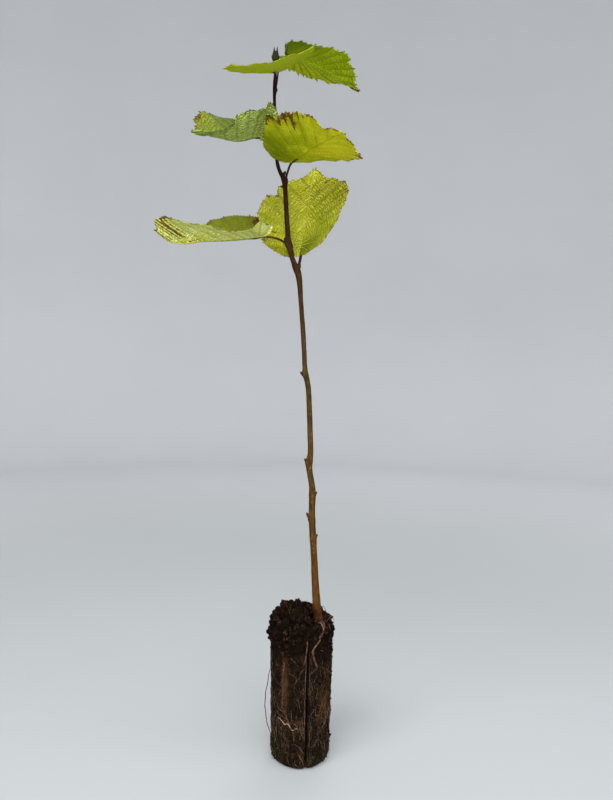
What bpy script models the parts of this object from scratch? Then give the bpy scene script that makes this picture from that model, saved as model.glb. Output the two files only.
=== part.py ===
"""A young hazel with six leaves that stands on its own tapered root ball.

Metres, +Z up. The origin is the middle of the root ball's flat underside, and -Y is the front.
The sizes below are millimetres and degrees. Every shape is worked out from them.
"""

import math
from dataclasses import dataclass

import bmesh
import bpy
import numpy as np
from mathutils import Vector, noise

MM = 0.001
GAP = 0.3  # clear space that separate pieces keep between them

# Root ball: a tapered plug, slotted by its growing cell, with a crumbly domed top.
BALL_HEIGHT = 101.5
BALL_TOP_RADIUS = 24.2
BALL_FOOT_RADIUS = 22.6
BALL_DOME_RISE = 13.5
BALL_FOOT_ROUNDING = 4.5
BALL_SIDES = 48
BALL_RINGS = 20
BALL_TOP_RINGS = 6
LUMP_SIDE = 0.7
LUMP_TOP = 2.2
LUMP_GRAIN = 9.0
MOUND_BEARING = 125.0  # the top is heaped towards this side
MOUND_SHARE = 0.22
HOLLOW_SHARE = 0.65  # how much of the dome's rise is missing round the stem's foot
HOLLOW_RADIUS = 9.0
SLOT_COUNT = 4
SLOT_BEARING = -78.0
SLOT_DEPTH = 2.2
SLOT_WIDTH = 1.9
SLOT_ENDS = (5.0, 94.0)

# Stem: its foot is a flat cut that sits in a shallow seat in the root ball.
SEAT_PLAY = 0.5
SEAT_REACH = 10.0
STEM_SWAY = 3.5
STEM_SWAY_TOP = 377.0
STEM_STEP = 6.0

# Leaves: a blade folded along its midrib, with toothed sides and a heart-shaped base.
BLADE_THICKNESS = 1.0
TEETH = 15
TOOTH_LENGTH = 1.7
BLADE_STRIPS = 3
MIDRIB_STEPS = 30
STALK_RADIUS = 0.95
MIDRIB_TIP_RADIUS = 0.35
MIDRIB_END = 0.9
STALK_STEPS = 8
STALK_CLIMB = 1.4  # how much more a stalk climbs than it leans out where it leaves the stem
VEIN_SPREAD = (0.12, 0.86, 3.2)  # how far up the midrib the side veins start, base to tip


@dataclass(frozen=True)
class Joint:
    """A place on the stem: height, sideways offset and diameter."""

    height: float
    across: float
    diameter: float


STEM = (
    Joint(104.5, 12.4, 8.6),
    Joint(109.0, 11.9, 7.2),
    Joint(116.0, 11.0, 6.2),
    Joint(137.0, 9.2, 5.4),
    Joint(163.0, 7.5, 4.8),
    Joint(188.0, 5.6, 4.7),
    Joint(207.0, 5.7, 4.6),
    Joint(214.0, 5.1, 4.5),
    Joint(226.0, 2.9, 4.5),
    Joint(232.0, 2.7, 4.9),
    Joint(239.0, 3.9, 4.2),
    Joint(257.0, 3.2, 4.0),
    Joint(284.0, 1.7, 3.9),
    Joint(294.0, 0.3, 4.0),
    Joint(300.0, -1.3, 4.3),
    Joint(307.0, -1.9, 3.6),
    Joint(331.0, -3.5, 3.5),
    Joint(355.0, -5.7, 3.4),
    Joint(367.0, -6.7, 3.7),
    Joint(377.0, -8.4, 4.3),
    Joint(389.0, -13.2, 3.2),
    Joint(401.0, -16.0, 3.4),
    Joint(413.0, -17.2, 2.9),
    Joint(439.0, -19.2, 2.8),
    Joint(447.0, -20.0, 3.2),
    Joint(453.0, -23.4, 2.6),
    Joint(461.0, -25.8, 2.4),
    Joint(477.0, -26.9, 2.5),
    Joint(506.0, -28.5, 2.1),
    Joint(513.0, -28.4, 2.2),
    Joint(519.0, -28.3, 2.1),
    Joint(533.5, -28.2, 1.8),
)


@dataclass(frozen=True)
class Leaf:
    """One leaf. Pairs are its left and right halves, looking from the stalk to the tip."""

    name: str
    joint_height: float
    base: tuple
    heading: float
    rise: float
    roll: float
    length: float
    width: float
    droop: float
    droop_power: float
    bend: float
    twist: float
    fold: tuple
    fold_gain: tuple
    cup: tuple
    wave: float
    wave_phase: float
    fullness: float


LEAVES = (
    Leaf("leaf_1", 380.0, (-6.7, 4.3, 396.9), 71.5, 66.5, -8, 75, 1.04,
         -1, 1.2, -1, 8, (14, 22), (-11, -18), (-1, -4), -0.8, 0.2, 0.4),
    Leaf("leaf_2", 401.0, (-36.2, -2.0, 403.7), 180, -9, -3, 82, 1.01,
         -31, 1.7, -4, 16, (13, 40), (6, -16), (-30, 7), 0.4, 2.5, 1.0),
    Leaf("leaf_3", 447.0, (-14.3, -6.8, 458.2), -61, 5, 4, 72, 0.94,
         14, 1.5, 1, -15, (9, 19), (-16, 1), (-12, 4), 0.4, 0.9, 0.3),
    Leaf("leaf_4", 477.0, (-37.3, -2.6, 477.6), 226, -15.5, 11, 67, 1.0,
         -8, 1.5, 2, -2, (12, 47), (-23, 3), (12, 8), 2.8, 0.8, -0.1),
    Leaf("leaf_5", 513.0, (-19.3, 10.2, 544.0), 5.7, 3, 12, 61, 0.99,
         33.5, 0.4, -9, 2, (3, 18), (15, 18), (-20, -16), 1.7, 0.8, 0.5),
    Leaf("leaf_6", 519.0, (-28.4, -5.9, 524.0), 267, -18, 7, 66, 0.94,
         5, 1.1, 4, -1, (16, 5), (-4, 0), (-1, 0), -0.4, -0.2, 0.4),
)


@dataclass(frozen=True)
class Bud:
    """A bud beside the stem: where it sits, which way it points, and its size."""

    name: str
    height: float
    bearing: float
    lean: float
    length: float
    width: float


BUDS = (
    Bud("bud_low_1", 172.5, 0, 50, 3.6, 2.4),
    Bud("bud_low_2", 187.0, 180, 38, 6.5, 2.8),
    Bud("bud_low_3", 206.0, 0, 50, 3.6, 2.4),
    Bud("bud_low_4", 232.0, 180, 55, 3.4, 2.6),
    Bud("bud_low_5", 299.5, 180, 50, 3.6, 2.6),
    Bud("bud_leaf_1", 384.5, -35, 35, 4.6, 2.9),
    Bud("bud_leaf_2", 405.0, 165, 32, 4.6, 3.0),
    Bud("bud_leaf_3", 450.5, 35, 32, 4.4, 2.6),
)
TIP_BUD_LENGTH = 12.3
TIP_BUD_WIDTH = 5.0
TIP_SCALES = 3


@dataclass(frozen=True)
class Strand:
    """A root on the ball's side: (bearing, height, stand-off) stations from one end to the other."""

    thickness: float
    stations: tuple


STRANDS = (
    Strand(1.2, ((-60, 97, -0.5), (-65, 94, 0.3), (-69, 89, 0.3), (-67, 84, 0.3), (-61, 79, -0.5))),
    Strand(1.1, ((-83, 97, -0.5), (-82, 92, 0.3), (-82, 85, 0.3), (-84, 78, -0.5))),
    Strand(2.0, ((-124, 80, -0.6), (-124, 74, 0.3), (-125, 67, 0.3), (-125, 59, 0.1), (-125, 47, -0.7))),
    Strand(0.9, ((-134, 41, -0.4), (-118, 37, 0.3), (-106, 33, 0.3), (-95, 31, -0.4))),
    Strand(1.2, ((60, 88, -0.4), (52, 72, 0.3), (57, 52, 0.3), (49, 30, 0.2), (54, 14, -0.4))),
    Strand(1.0, ((142, 80, -0.4), (134, 62, 0.3), (140, 44, 0.3), (130, 22, -0.4))),
)


def collection_named(name):
    """A new collection in the scene."""
    made = bpy.data.collections.new(name)
    bpy.context.scene.collection.children.link(made)
    return made


def material_named(name, colour, roughness):
    """A plain Principled material."""
    made = bpy.data.materials.new(name)
    made.use_nodes = True
    shader = made.node_tree.nodes["Principled BSDF"]
    shader.inputs["Base Color"].default_value = (*colour, 1.0)
    shader.inputs["Roughness"].default_value = roughness
    return made


def object_from(bm, name, collection):
    """A mesh object that takes what a bmesh holds."""
    mesh = bpy.data.meshes.new(name)
    bm.to_mesh(mesh)
    bm.free()
    obj = bpy.data.objects.new(name, mesh)
    collection.objects.link(obj)
    return obj


def evaluated_copy(obj, name, collection):
    """The object as its modifiers or bevel make it, as a new mesh object with its doubles merged."""
    bpy.context.view_layer.update()
    graph = bpy.context.evaluated_depsgraph_get()
    mesh = bpy.data.meshes.new_from_object(obj.evaluated_get(graph))
    bm = bmesh.new()
    bm.from_mesh(mesh)
    bmesh.ops.remove_doubles(bm, verts=bm.verts, dist=1e-6)
    bmesh.ops.recalc_face_normals(bm, faces=bm.faces)
    bpy.data.meshes.remove(mesh)
    made = object_from(bm, name, collection)
    made.matrix_world = obj.matrix_world.copy()
    bpy.data.objects.remove(obj)
    return made


def fused(body, extras, name, collection):
    """The Boolean union of a body with a collection of extra pieces, which are then removed."""
    cutters = collection_named(name + "_extras")
    for extra in extras:
        for holder in list(extra.users_collection):
            holder.objects.unlink(extra)
        cutters.objects.link(extra)
    join = body.modifiers.new("join", "BOOLEAN")
    join.operation = "UNION"
    join.operand_type = "COLLECTION"
    join.collection = cutters
    join.solver = "EXACT"
    made = evaluated_copy(body, name, collection)
    for extra in list(cutters.objects):
        bpy.data.objects.remove(extra)
    bpy.data.collections.remove(cutters)
    return made


def tube(points, radii, collection, rounding=2):
    """A round limb along a route, tapering by its radii, as a closed mesh. Millimetres."""
    curve = bpy.data.curves.new("limb", "CURVE")
    curve.dimensions = "3D"
    curve.bevel_depth = MM
    curve.bevel_resolution = rounding
    curve.use_fill_caps = True
    spline = curve.splines.new("POLY")
    spline.points.add(len(points) - 1)
    for point, place, radius in zip(spline.points, points, radii):
        point.co = (*(Vector(place) * MM), 1.0)
        point.radius = radius
    obj = bpy.data.objects.new("limb", curve)
    collection.objects.link(obj)
    return evaluated_copy(obj, "limb", collection)


def spline_through(points, step_count):
    """A Catmull-Rom curve through points, with step_count samples on each stretch."""
    points = np.array(points, float)
    ends = np.vstack([2 * points[0] - points[1], points, 2 * points[-1] - points[-2]])
    t = (np.arange(step_count) / step_count)[:, None]
    runs = []
    for a, b, c, d in zip(ends, ends[1:], ends[2:], ends[3:]):
        runs.append(0.5 * (2 * b + (c - a) * t + (2 * a - 5 * b + 4 * c - d) * t**2
                           + (3 * b - a - 3 * c + d) * t**3))
    return np.vstack(runs + [points[-1:]])


def resampled(points, count):
    """The same route with count points, evenly spaced along it."""
    length = np.concatenate([[0], np.cumsum(np.linalg.norm(np.diff(points, axis=0), axis=1))])
    at = np.linspace(0, length[-1], count)
    return np.stack([np.interp(at, length, column) for column in points.T], axis=1)


# --- Root ball ---------------------------------------------------------------------------------


def ball_radius(height):
    """The plug's radius at a height, before its lumps and slots."""
    share = min(max(height / BALL_HEIGHT, 0.0), 1.0)
    return BALL_FOOT_RADIUS + (BALL_TOP_RADIUS - BALL_FOOT_RADIUS) * share


def slot_depth(bearing, height):
    """How deep the nearest slot is at a place on the side."""
    spacing = 360.0 / SLOT_COUNT
    off = (bearing - SLOT_BEARING + spacing / 2) % spacing - spacing / 2
    across = math.radians(off) * ball_radius(height)
    low, high = SLOT_ENDS
    ends = min(max((height - low) / 4.0, 0.0), 1.0) * min(max((high - height) / 4.0, 0.0), 1.0)
    return SLOT_DEPTH * ends * math.exp(-((across / SLOT_WIDTH) ** 2))


def lump(place, size):
    """A seeded bump at a place."""
    return size * noise.fractal(Vector(place) / LUMP_GRAIN + Vector((3.1, 7.7, 1.9)), 1.0, 2.0, 3)


def side_point(bearing, height, stand_off=0.0):
    """A point on the plug's finished side, pushed out by stand_off."""
    turn = math.radians(bearing)
    plain = ball_radius(height)
    place = (plain * math.cos(turn), plain * math.sin(turn), height)
    near_top = min(max((height - 0.8 * BALL_HEIGHT) / (0.2 * BALL_HEIGHT), 0.0), 1.0)
    radius = plain + lump(place, LUMP_SIDE + (LUMP_TOP - LUMP_SIDE) * near_top * 0.7)
    radius += stand_off - slot_depth(bearing, height)
    return Vector((radius * math.cos(turn), radius * math.sin(turn), height))


def dome_rise(place):
    """How far the top stands above its rim: heaped towards one side, hollow round the stem's foot."""
    inward = 1.0 - min(math.hypot(place.x, place.y) / BALL_TOP_RADIUS, 1.0)
    turn = math.radians(MOUND_BEARING)
    heap = 1.0 + MOUND_SHARE * (place.x * math.cos(turn) + place.y * math.sin(turn)) / BALL_TOP_RADIUS
    near_stem = math.hypot(place.x - STEM[0].across, place.y) / HOLLOW_RADIUS
    hollow = 1.0 - HOLLOW_SHARE * math.exp(-(near_stem**2))
    return BALL_DOME_RISE * math.sqrt(1.0 - (1.0 - inward) ** 2) * heap * hollow


def top_point(bearing, share):
    """A point on the domed top, share of the way from its rim to its middle."""
    rim = side_point(bearing, BALL_HEIGHT)
    flat = Vector((rim.x, rim.y, 0.0)) * (1.0 - share)
    height = BALL_HEIGHT + dome_rise(flat) + lump(flat, LUMP_TOP) * min(1.0, 3 * share)
    return Vector((flat.x, flat.y, height))


def build_ball(stem, parts):
    """The plug with its slots, crumbly top, seat for the stem and the roots on its side."""
    bm = bmesh.new()
    bmesh.ops.create_cone(bm, cap_ends=True, segments=BALL_SIDES, radius1=BALL_FOOT_RADIUS,
                          radius2=BALL_TOP_RADIUS, depth=BALL_HEIGHT)
    bmesh.ops.translate(bm, vec=(0, 0, BALL_HEIGHT / 2), verts=bm.verts)
    walls = [edge for edge in bm.edges if abs(edge.verts[0].co.z - edge.verts[1].co.z) > 1.0]
    bmesh.ops.subdivide_edges(bm, edges=walls, cuts=BALL_RINGS, use_grid_fill=True)
    top = [face for face in bm.faces if face.normal.z > 0.9]
    for _ in range(BALL_TOP_RINGS):
        bmesh.ops.inset_region(bm, faces=top, thickness=BALL_TOP_RADIUS / (BALL_TOP_RINGS + 1))
    bmesh.ops.poke(bm, faces=top)
    for vert in bm.verts:
        bearing = math.degrees(math.atan2(vert.co.y, vert.co.x))
        inward = 1.0 - math.hypot(vert.co.x, vert.co.y) / BALL_TOP_RADIUS
        if vert.co.z > BALL_HEIGHT - 0.01 and inward > 0.02:
            vert.co = top_point(bearing, inward)
        elif vert.co.z > 0.01:
            vert.co = side_point(bearing, vert.co.z)
    under = [face for face in bm.faces if face.normal.z < -0.9 and len(face.verts) == BALL_SIDES]
    bmesh.ops.bevel(bm, geom=list(under[0].edges), offset=BALL_FOOT_ROUNDING, segments=3, profile=0.5,
                    affect="EDGES")
    bmesh.ops.scale(bm, vec=(MM, MM, MM), verts=bm.verts)
    ball = object_from(bm, "plug", parts)

    strands = []
    for strand in STRANDS:
        route = spline_through([side_point(*station) for station in strand.stations], 4)
        taper = np.sin(np.linspace(0.25, math.pi - 0.4, len(route))) ** 0.5
        strands.append(tube(route, strand.thickness / 2 * taper, parts, rounding=1))
    ball = fused(ball, strands, "plug", parts)

    across, depth, height, radius = stem[0]
    bm = bmesh.new()
    bmesh.ops.create_cone(bm, cap_ends=True, segments=24, radius1=radius + SEAT_PLAY,
                          radius2=radius + 1.5 * SEAT_PLAY, depth=2 * SEAT_REACH)
    seat = (across, depth, height - GAP + SEAT_REACH)
    bmesh.ops.translate(bm, vec=seat, verts=bm.verts)
    bmesh.ops.scale(bm, vec=(MM, MM, MM), verts=bm.verts)
    cutters = collection_named("cutters")
    cutter = object_from(bm, "seat_cutter", cutters)
    cutter.hide_render = True
    cutter.display_type = "WIRE"
    cut = ball.modifiers.new("seat", "BOOLEAN")
    cut.operation = "DIFFERENCE"
    cut.solver = "EXACT"
    cut.object = cutter
    return evaluated_copy(ball, "root_ball", parts)


# --- Stem --------------------------------------------------------------------------------------


def stem_route():
    """The stem's axis and radius, sampled closely from foot to tip."""
    keys = []
    for joint in STEM:
        climb = (joint.height - STEM[0].height) / (STEM_SWAY_TOP - STEM[0].height)
        sway = STEM_SWAY * math.sin(math.pi * climb) if climb < 1.0 else 0.0
        keys.append((joint.across, sway, joint.height, joint.diameter / 2))
    dense = spline_through(keys, 8)
    count = round((STEM[-1].height - STEM[0].height) / STEM_STEP)
    route = resampled(dense, count)
    route[0, :2] = route[1, :2]
    return route


def stem_at(route, height):
    """The stem's axis point and radius at a height."""
    x, y, radius = [np.interp(height, route[:, 2], route[:, k]) for k in (0, 1, 3)]
    return Vector((x, y, height)), radius


def build_stem(route, parts):
    """The stem as one tapering limb, with flat cuts at its foot and under its top bud."""
    stem = tube([tuple(row[:3]) for row in route], route[:, 3], parts)
    stem.name = stem.data.name = "stem"
    return stem


# --- Leaves ------------------------------------------------------------------------------------


def half_outline(leaf):
    """One half of the blade's edge, in shares of its length: along the midrib, and away from it."""
    full = leaf.fullness
    keys = [(-0.03, 0.02), (-0.10, 0.13), (0.05, 0.38), (0.33, 0.50), (0.62, 0.43 + 0.06 * full),
            (0.83, 0.23 + 0.10 * full), (0.93, 0.07 + 0.04 * full), (1.0, 0.015)]
    edge = resampled(spline_through(keys, 16), 2 * TEETH + 1)
    edge[:, 1] *= leaf.width
    return edge


def blade_rows(leaf):
    """Where each side vein leaves the midrib, and where it ends on the toothed edge."""
    edge = half_outline(leaf)
    share = np.linspace(0, 1, len(edge))
    low, high, power = VEIN_SPREAD
    feet = low * share + high * share**power
    veins = edge - np.stack([feet, np.zeros_like(feet)], axis=1)
    reach = np.linalg.norm(veins, axis=1, keepdims=True)
    teeth = (np.arange(len(edge)) % 2 == 1) * np.minimum(1.0, 4 * share * (1 - share) + 0.3)
    return feet, veins * (1 + teeth[:, None] * TOOTH_LENGTH / leaf.length / reach)


def turned(vector, axis, angle):
    """A vector turned about an axis by an angle in radians."""
    axis = axis / np.linalg.norm(axis)
    flat = vector * math.cos(angle) + np.cross(axis, vector) * math.sin(angle)
    return flat + axis * np.dot(axis, vector) * (1 - math.cos(angle))


def midrib(leaf):
    """The midrib's points, and at each its direction, its right side and its upper side."""
    heading, rise, roll = map(math.radians, (leaf.heading, leaf.rise, leaf.roll))
    level = np.array([math.cos(heading), math.sin(heading), 0.0])
    along = level * math.cos(rise) + np.array([0.0, 0.0, math.sin(rise)])
    right = np.array([math.sin(heading), -math.cos(heading), 0.0])
    right = turned(right, along, roll)
    stations = [(np.array(leaf.base, float), along, right, np.cross(right, along))]
    droop, bend, twist = (math.radians(turn) for turn in (leaf.droop, leaf.bend, leaf.twist))
    for number in range(1, MIDRIB_STEPS + 1):
        share, before = number / MIDRIB_STEPS, (number - 1) / MIDRIB_STEPS
        fall = droop * (share**leaf.droop_power - before**leaf.droop_power)
        along = turned(along, right, -fall)
        upper = np.cross(right, along)
        along, right = (turned(side, upper, bend / MIDRIB_STEPS) for side in (along, right))
        right = turned(right, along, twist / MIDRIB_STEPS)
        point = stations[-1][0] + along * leaf.length / MIDRIB_STEPS
        stations.append((point, along, right, np.cross(right, along)))
    return [np.array(column) for column in zip(*stations)]


def blade_point(leaf, ribs, along, away, side):
    """A point of the blade from its flat place: shares of the length along and away from the midrib."""
    place = min(max(along, 0.0), 1.0) * MIDRIB_STEPS
    low = min(int(place), MIDRIB_STEPS - 1)
    mix = place - low
    point, forward, right, upper = (rib[low] * (1 - mix) + rib[low + 1] * mix for rib in ribs)
    point = point + forward * min(along, 0.0) * leaf.length
    half = 1 if side > 0 else 0
    fold = math.radians(leaf.fold[half] + leaf.fold_gain[half] * min(max(along, 0.0), 1.0) ** 2)
    curl = math.radians(leaf.cup[half] or 0.01) * 2
    lateral = leaf.length * (math.sin(fold + curl * away) - math.sin(fold)) / curl
    lift = -leaf.length * (math.cos(fold + curl * away) - math.cos(fold)) / curl
    phase = 3 * math.pi * along + leaf.wave_phase + (1.3 if side > 0 else 0.0)
    lift += leaf.wave * math.sin(phase) * (2 * away) ** 2
    return point + right * side * lateral + upper * lift


def build_blade(leaf, ribs, parts):
    """The blade: a grid whose rows run along the side veins, given its thickness."""
    feet, veins = blade_rows(leaf)
    rows, strips = len(feet), BLADE_STRIPS
    bm = bmesh.new()
    bmesh.ops.create_grid(bm, x_segments=rows - 1, y_segments=2 * strips, size=1.0)
    for vert in bm.verts:
        row = round((vert.co.x + 1) / 2 * (rows - 1))
        strip = round(vert.co.y * strips)
        share = abs(strip) / strips
        along, away = feet[row] + veins[row][0] * share, veins[row][1] * share
        vert.co = Vector(blade_point(leaf, ribs, along, away, -1 if strip > 0 else 1)) * MM
    bmesh.ops.recalc_face_normals(bm, faces=bm.faces)
    blade = object_from(bm, "blade", parts)
    thicken = blade.modifiers.new("thickness", "SOLIDIFY")
    thicken.thickness = BLADE_THICKNESS * MM
    thicken.offset = 0.0
    return evaluated_copy(blade, "blade", parts)


def stalk_route(leaf, ribs, stem):
    """The leaf stalk's route: out of the stem's joint, then curving into the midrib."""
    joint, stem_radius = stem_at(stem, leaf.joint_height)
    base, forward = Vector(leaf.base), Vector(ribs[1][0])
    out = Vector((base.x - joint.x, base.y - joint.y, 0.0)).normalized()
    start = joint + out * (stem_radius + GAP + STALK_RADIUS)
    span = (base - start).length
    leave = (out + Vector((0, 0, STALK_CLIMB))).normalized() * 0.8 * span
    arrive = forward * span
    points = []
    for t in np.linspace(0, 1, STALK_STEPS + 1):
        points.append(start * (2 * t**3 - 3 * t**2 + 1) + leave * (t**3 - 2 * t**2 + t)
                      + base * (3 * t**2 - 2 * t**3) + arrive * (t**3 - t**2))
    return points


def build_leaf(leaf, stem, parts):
    """One leaf: its blade, fused with its stalk and midrib."""
    ribs = midrib(leaf)
    stalk = stalk_route(leaf, ribs, stem)
    last = int(MIDRIB_END * MIDRIB_STEPS)
    rib = [Vector(point) for point in ribs[0][2:last + 1:3]]
    radii = [STALK_RADIUS] * len(stalk) + list(np.linspace(0.8 * STALK_RADIUS, MIDRIB_TIP_RADIUS, len(rib)))
    blade = build_blade(leaf, ribs, parts)
    return fused(blade, [tube(stalk + rib, radii, parts, rounding=1)], leaf.name, parts)


# --- Buds --------------------------------------------------------------------------------------


def bud_shape(length, width):
    """A pointed egg that stands on its foot at the origin. Millimetres."""
    bm = bmesh.new()
    bmesh.ops.create_uvsphere(bm, u_segments=8, v_segments=7, radius=1.0)
    for vert in bm.verts:
        share = (vert.co.z + 1) / 2
        swell = 1.1 - 0.55 * share
        vert.co = Vector((vert.co.x * swell * width / 2, vert.co.y * swell * width / 2, share * length))
    return bm


def build_bud(bud, stem, parts):
    """A side bud, standing off the stem by the gap."""
    joint, stem_radius = stem_at(stem, bud.height)
    turn, lean = math.radians(bud.bearing), math.radians(bud.lean)
    out = Vector((math.cos(turn), math.sin(turn), 0.0))
    axis = out * math.sin(lean) + Vector((0, 0, math.cos(lean)))
    bm = bud_shape(bud.length, bud.width)
    bmesh.ops.rotate(bm, cent=(0, 0, 0), matrix=Vector((0, 0, 1)).rotation_difference(axis).to_matrix(),
                     verts=bm.verts)
    nearest = min(vert.co.dot(out) for vert in bm.verts)
    bmesh.ops.translate(bm, vec=joint + out * (stem_radius + 1.5 * GAP - nearest), verts=bm.verts)
    bmesh.ops.scale(bm, vec=(MM, MM, MM), verts=bm.verts)
    return object_from(bm, bud.name, parts)


def build_tip_bud(stem, parts):
    """The top bud: an egg with pointed scales that part at its tip."""
    top = Vector(stem[-1][:3])
    foot = top + Vector((0, 0, GAP))
    pieces = []
    for number in range(TIP_SCALES + 1):
        side = number - 1
        length = TIP_BUD_LENGTH * (0.86 if number == 0 else (1.0, 0.93, 0.9)[side])
        bm = bud_shape(length, TIP_BUD_WIDTH * (1.0 if number == 0 else 0.5))
        if number:
            turn = 2 * math.pi * side / TIP_SCALES + 0.5
            out = Vector((math.cos(turn), math.sin(turn), 0.0))
            for vert in bm.verts:
                vert.co += out * (0.14 + 0.13 * (vert.co.z / length) ** 2) * TIP_BUD_WIDTH
                vert.co.z += 0.1
        bmesh.ops.translate(bm, vec=foot, verts=bm.verts)
        bmesh.ops.scale(bm, vec=(MM, MM, MM), verts=bm.verts)
        pieces.append(object_from(bm, "scale", parts))
    return fused(pieces[0], pieces[1:], "bud_tip", parts)


def main():
    """Builds every piece and dresses it."""
    for obj in list(bpy.data.objects):
        bpy.data.objects.remove(obj)
    parts = collection_named("sapling")
    stem = stem_route()
    peat = material_named("peat_and_roots", (0.032, 0.022, 0.016), 0.95)
    bark = material_named("bark", (0.16, 0.09, 0.045), 0.6)
    green = material_named("leaf_green", (0.23, 0.28, 0.05), 0.5)
    scales = material_named("bud_scales", (0.09, 0.06, 0.035), 0.6)

    dressed = {peat: [build_ball(stem, parts)], bark: [build_stem(stem, parts)]}
    dressed[green] = [build_leaf(leaf, stem, parts) for leaf in LEAVES]
    dressed[scales] = [build_bud(bud, stem, parts) for bud in BUDS] + [build_tip_bud(stem, parts)]
    for material, pieces in dressed.items():
        for piece in pieces:
            piece.data.materials.append(material)
            piece.data.shade_smooth()
            piece.data.set_sharp_from_angle(angle=math.radians(40))


main()
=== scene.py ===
"""The finish of a young hazel sapling that stands on its own root ball.

Sizes in the dataclasses are millimetres and degrees; meshes are in metres, +Z up, and -Y is the front.
"""

from __future__ import annotations

import logging
import math
import sys
from dataclasses import dataclass
from enum import Enum
from typing import Iterable, Sequence

import bpy
import numpy as np
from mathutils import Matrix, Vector, noise
from mathutils.bvhtree import BVHTree

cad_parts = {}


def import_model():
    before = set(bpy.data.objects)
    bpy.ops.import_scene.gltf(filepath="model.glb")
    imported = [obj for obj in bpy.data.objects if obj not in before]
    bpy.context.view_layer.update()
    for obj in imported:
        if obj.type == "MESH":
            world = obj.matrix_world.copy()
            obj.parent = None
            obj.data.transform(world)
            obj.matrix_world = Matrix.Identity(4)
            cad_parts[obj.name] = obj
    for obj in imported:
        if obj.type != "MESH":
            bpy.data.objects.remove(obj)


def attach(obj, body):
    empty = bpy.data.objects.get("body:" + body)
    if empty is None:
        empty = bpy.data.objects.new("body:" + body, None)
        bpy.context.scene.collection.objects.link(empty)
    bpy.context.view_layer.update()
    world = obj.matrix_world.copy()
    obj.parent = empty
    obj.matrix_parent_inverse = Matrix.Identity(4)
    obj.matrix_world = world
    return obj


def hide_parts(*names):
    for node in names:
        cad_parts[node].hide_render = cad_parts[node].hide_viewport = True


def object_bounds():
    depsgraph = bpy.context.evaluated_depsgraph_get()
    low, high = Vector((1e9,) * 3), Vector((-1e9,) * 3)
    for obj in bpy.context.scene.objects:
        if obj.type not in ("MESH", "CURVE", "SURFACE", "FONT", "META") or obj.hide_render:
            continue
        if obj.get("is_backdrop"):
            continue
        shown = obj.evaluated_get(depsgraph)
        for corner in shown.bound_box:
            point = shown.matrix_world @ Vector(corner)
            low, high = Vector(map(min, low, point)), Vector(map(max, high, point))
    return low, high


MM = 0.001
BODY = "root"
WELD_GAP = 1e-7
GOLDEN_TURN = math.radians(137.5)
UP = Vector((0.0, 0.0, 1.0))
Triple = tuple[float, float, float]
Socket = bpy.types.NodeSocket
log = logging.getLogger("sapling")


class Slot(Enum):
    """The record's material slots."""

    BALL = "root_ball"
    BARK = "bark"
    LEAVES = "leaves"
    BUDS = "buds"


class Half(Enum):
    """A leaf's halves, looking from the stalk to the tip."""

    LEFT = -1
    RIGHT = 1


def tone(*display: float) -> tuple[float, ...]:
    """Returns a linear colour with full alpha from display values of 0 to 255."""
    return (*(((c / 255 + 0.055) / 1.055) ** 2.4 if c > 10 else c / 255 / 12.92 for c in display), 1.0)


def smooth(low: float, high: float, value: np.ndarray) -> np.ndarray:
    """Returns 0 below low, 1 above high and a smooth step between them."""
    t = np.clip((value - low) / (high - low), 0, 1)
    return t * t * (3 - 2 * t)


def spline(keys: Sequence[Sequence[float]], steps: int) -> np.ndarray:
    """Runs a Catmull-Rom curve through points.

    Args:
        keys: the points, each of any number of values.
        steps: samples on each stretch between two points.

    Returns:
        The samples, one row each.
    """
    keys = np.array(keys, float)
    ends = np.vstack([2 * keys[0] - keys[1], keys, 2 * keys[-1] - keys[-2]])
    t = (np.arange(steps) / steps)[:, None]
    runs = [
        0.5 * (2 * b + (c - a) * t + (2 * a - 5 * b + 4 * c - d) * t**2 + (3 * b - a - 3 * c + d) * t**3)
        for a, b, c, d in zip(ends, ends[1:], ends[2:], ends[3:])
    ]
    return np.vstack(runs + [keys[-1:]])


def evenly(route: np.ndarray, count: int) -> np.ndarray:
    """Spaces the points of a route evenly.

    Args:
        route: the points, one row each.
        count: how many points there are to be.

    Returns:
        The same route in count points.
    """
    length = np.concatenate([[0], np.cumsum(np.linalg.norm(np.diff(route, axis=0), axis=1))])
    at = np.linspace(0, length[-1], count)
    return np.stack([np.interp(at, length, column) for column in route.T], axis=1)


def turned(vector: np.ndarray, axis: np.ndarray, angle: float) -> np.ndarray:
    """Turns a vector about an axis.

    Args:
        vector: the vector.
        axis: the axis, of any length.
        angle: how far, in radians.

    Returns:
        The turned vector.
    """
    axis = axis / np.linalg.norm(axis)
    flat = vector * math.cos(angle) + np.cross(axis, vector) * math.sin(angle)
    return flat + axis * np.dot(axis, vector) * (1 - math.cos(angle))


def round_axis(turn: np.ndarray, radius: np.ndarray | float, height: np.ndarray) -> np.ndarray:
    """Returns points round an upright axis, at turns in radians."""
    return np.stack([np.cos(turn) * radius, np.sin(turn) * radius, height], axis=-1)


def grain(points: np.ndarray, size: float, octaves: int = 3, shift: float = 0.0) -> np.ndarray:
    """Samples smooth fractal noise.

    Args:
        points: places, in millimetres.
        size: the size of the largest bumps.
        octaves: how many finer layers are added.
        shift: moves the pattern.

    Returns:
        One value for each place, roughly -1 to 1.
    """
    start = Vector((3.1, 7.7, 1.9)) + Vector((shift, shift, shift))
    return np.array([noise.fractal(Vector(p) / size + start, 1.0, 2.0, octaves) for p in points.tolist()])


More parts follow.
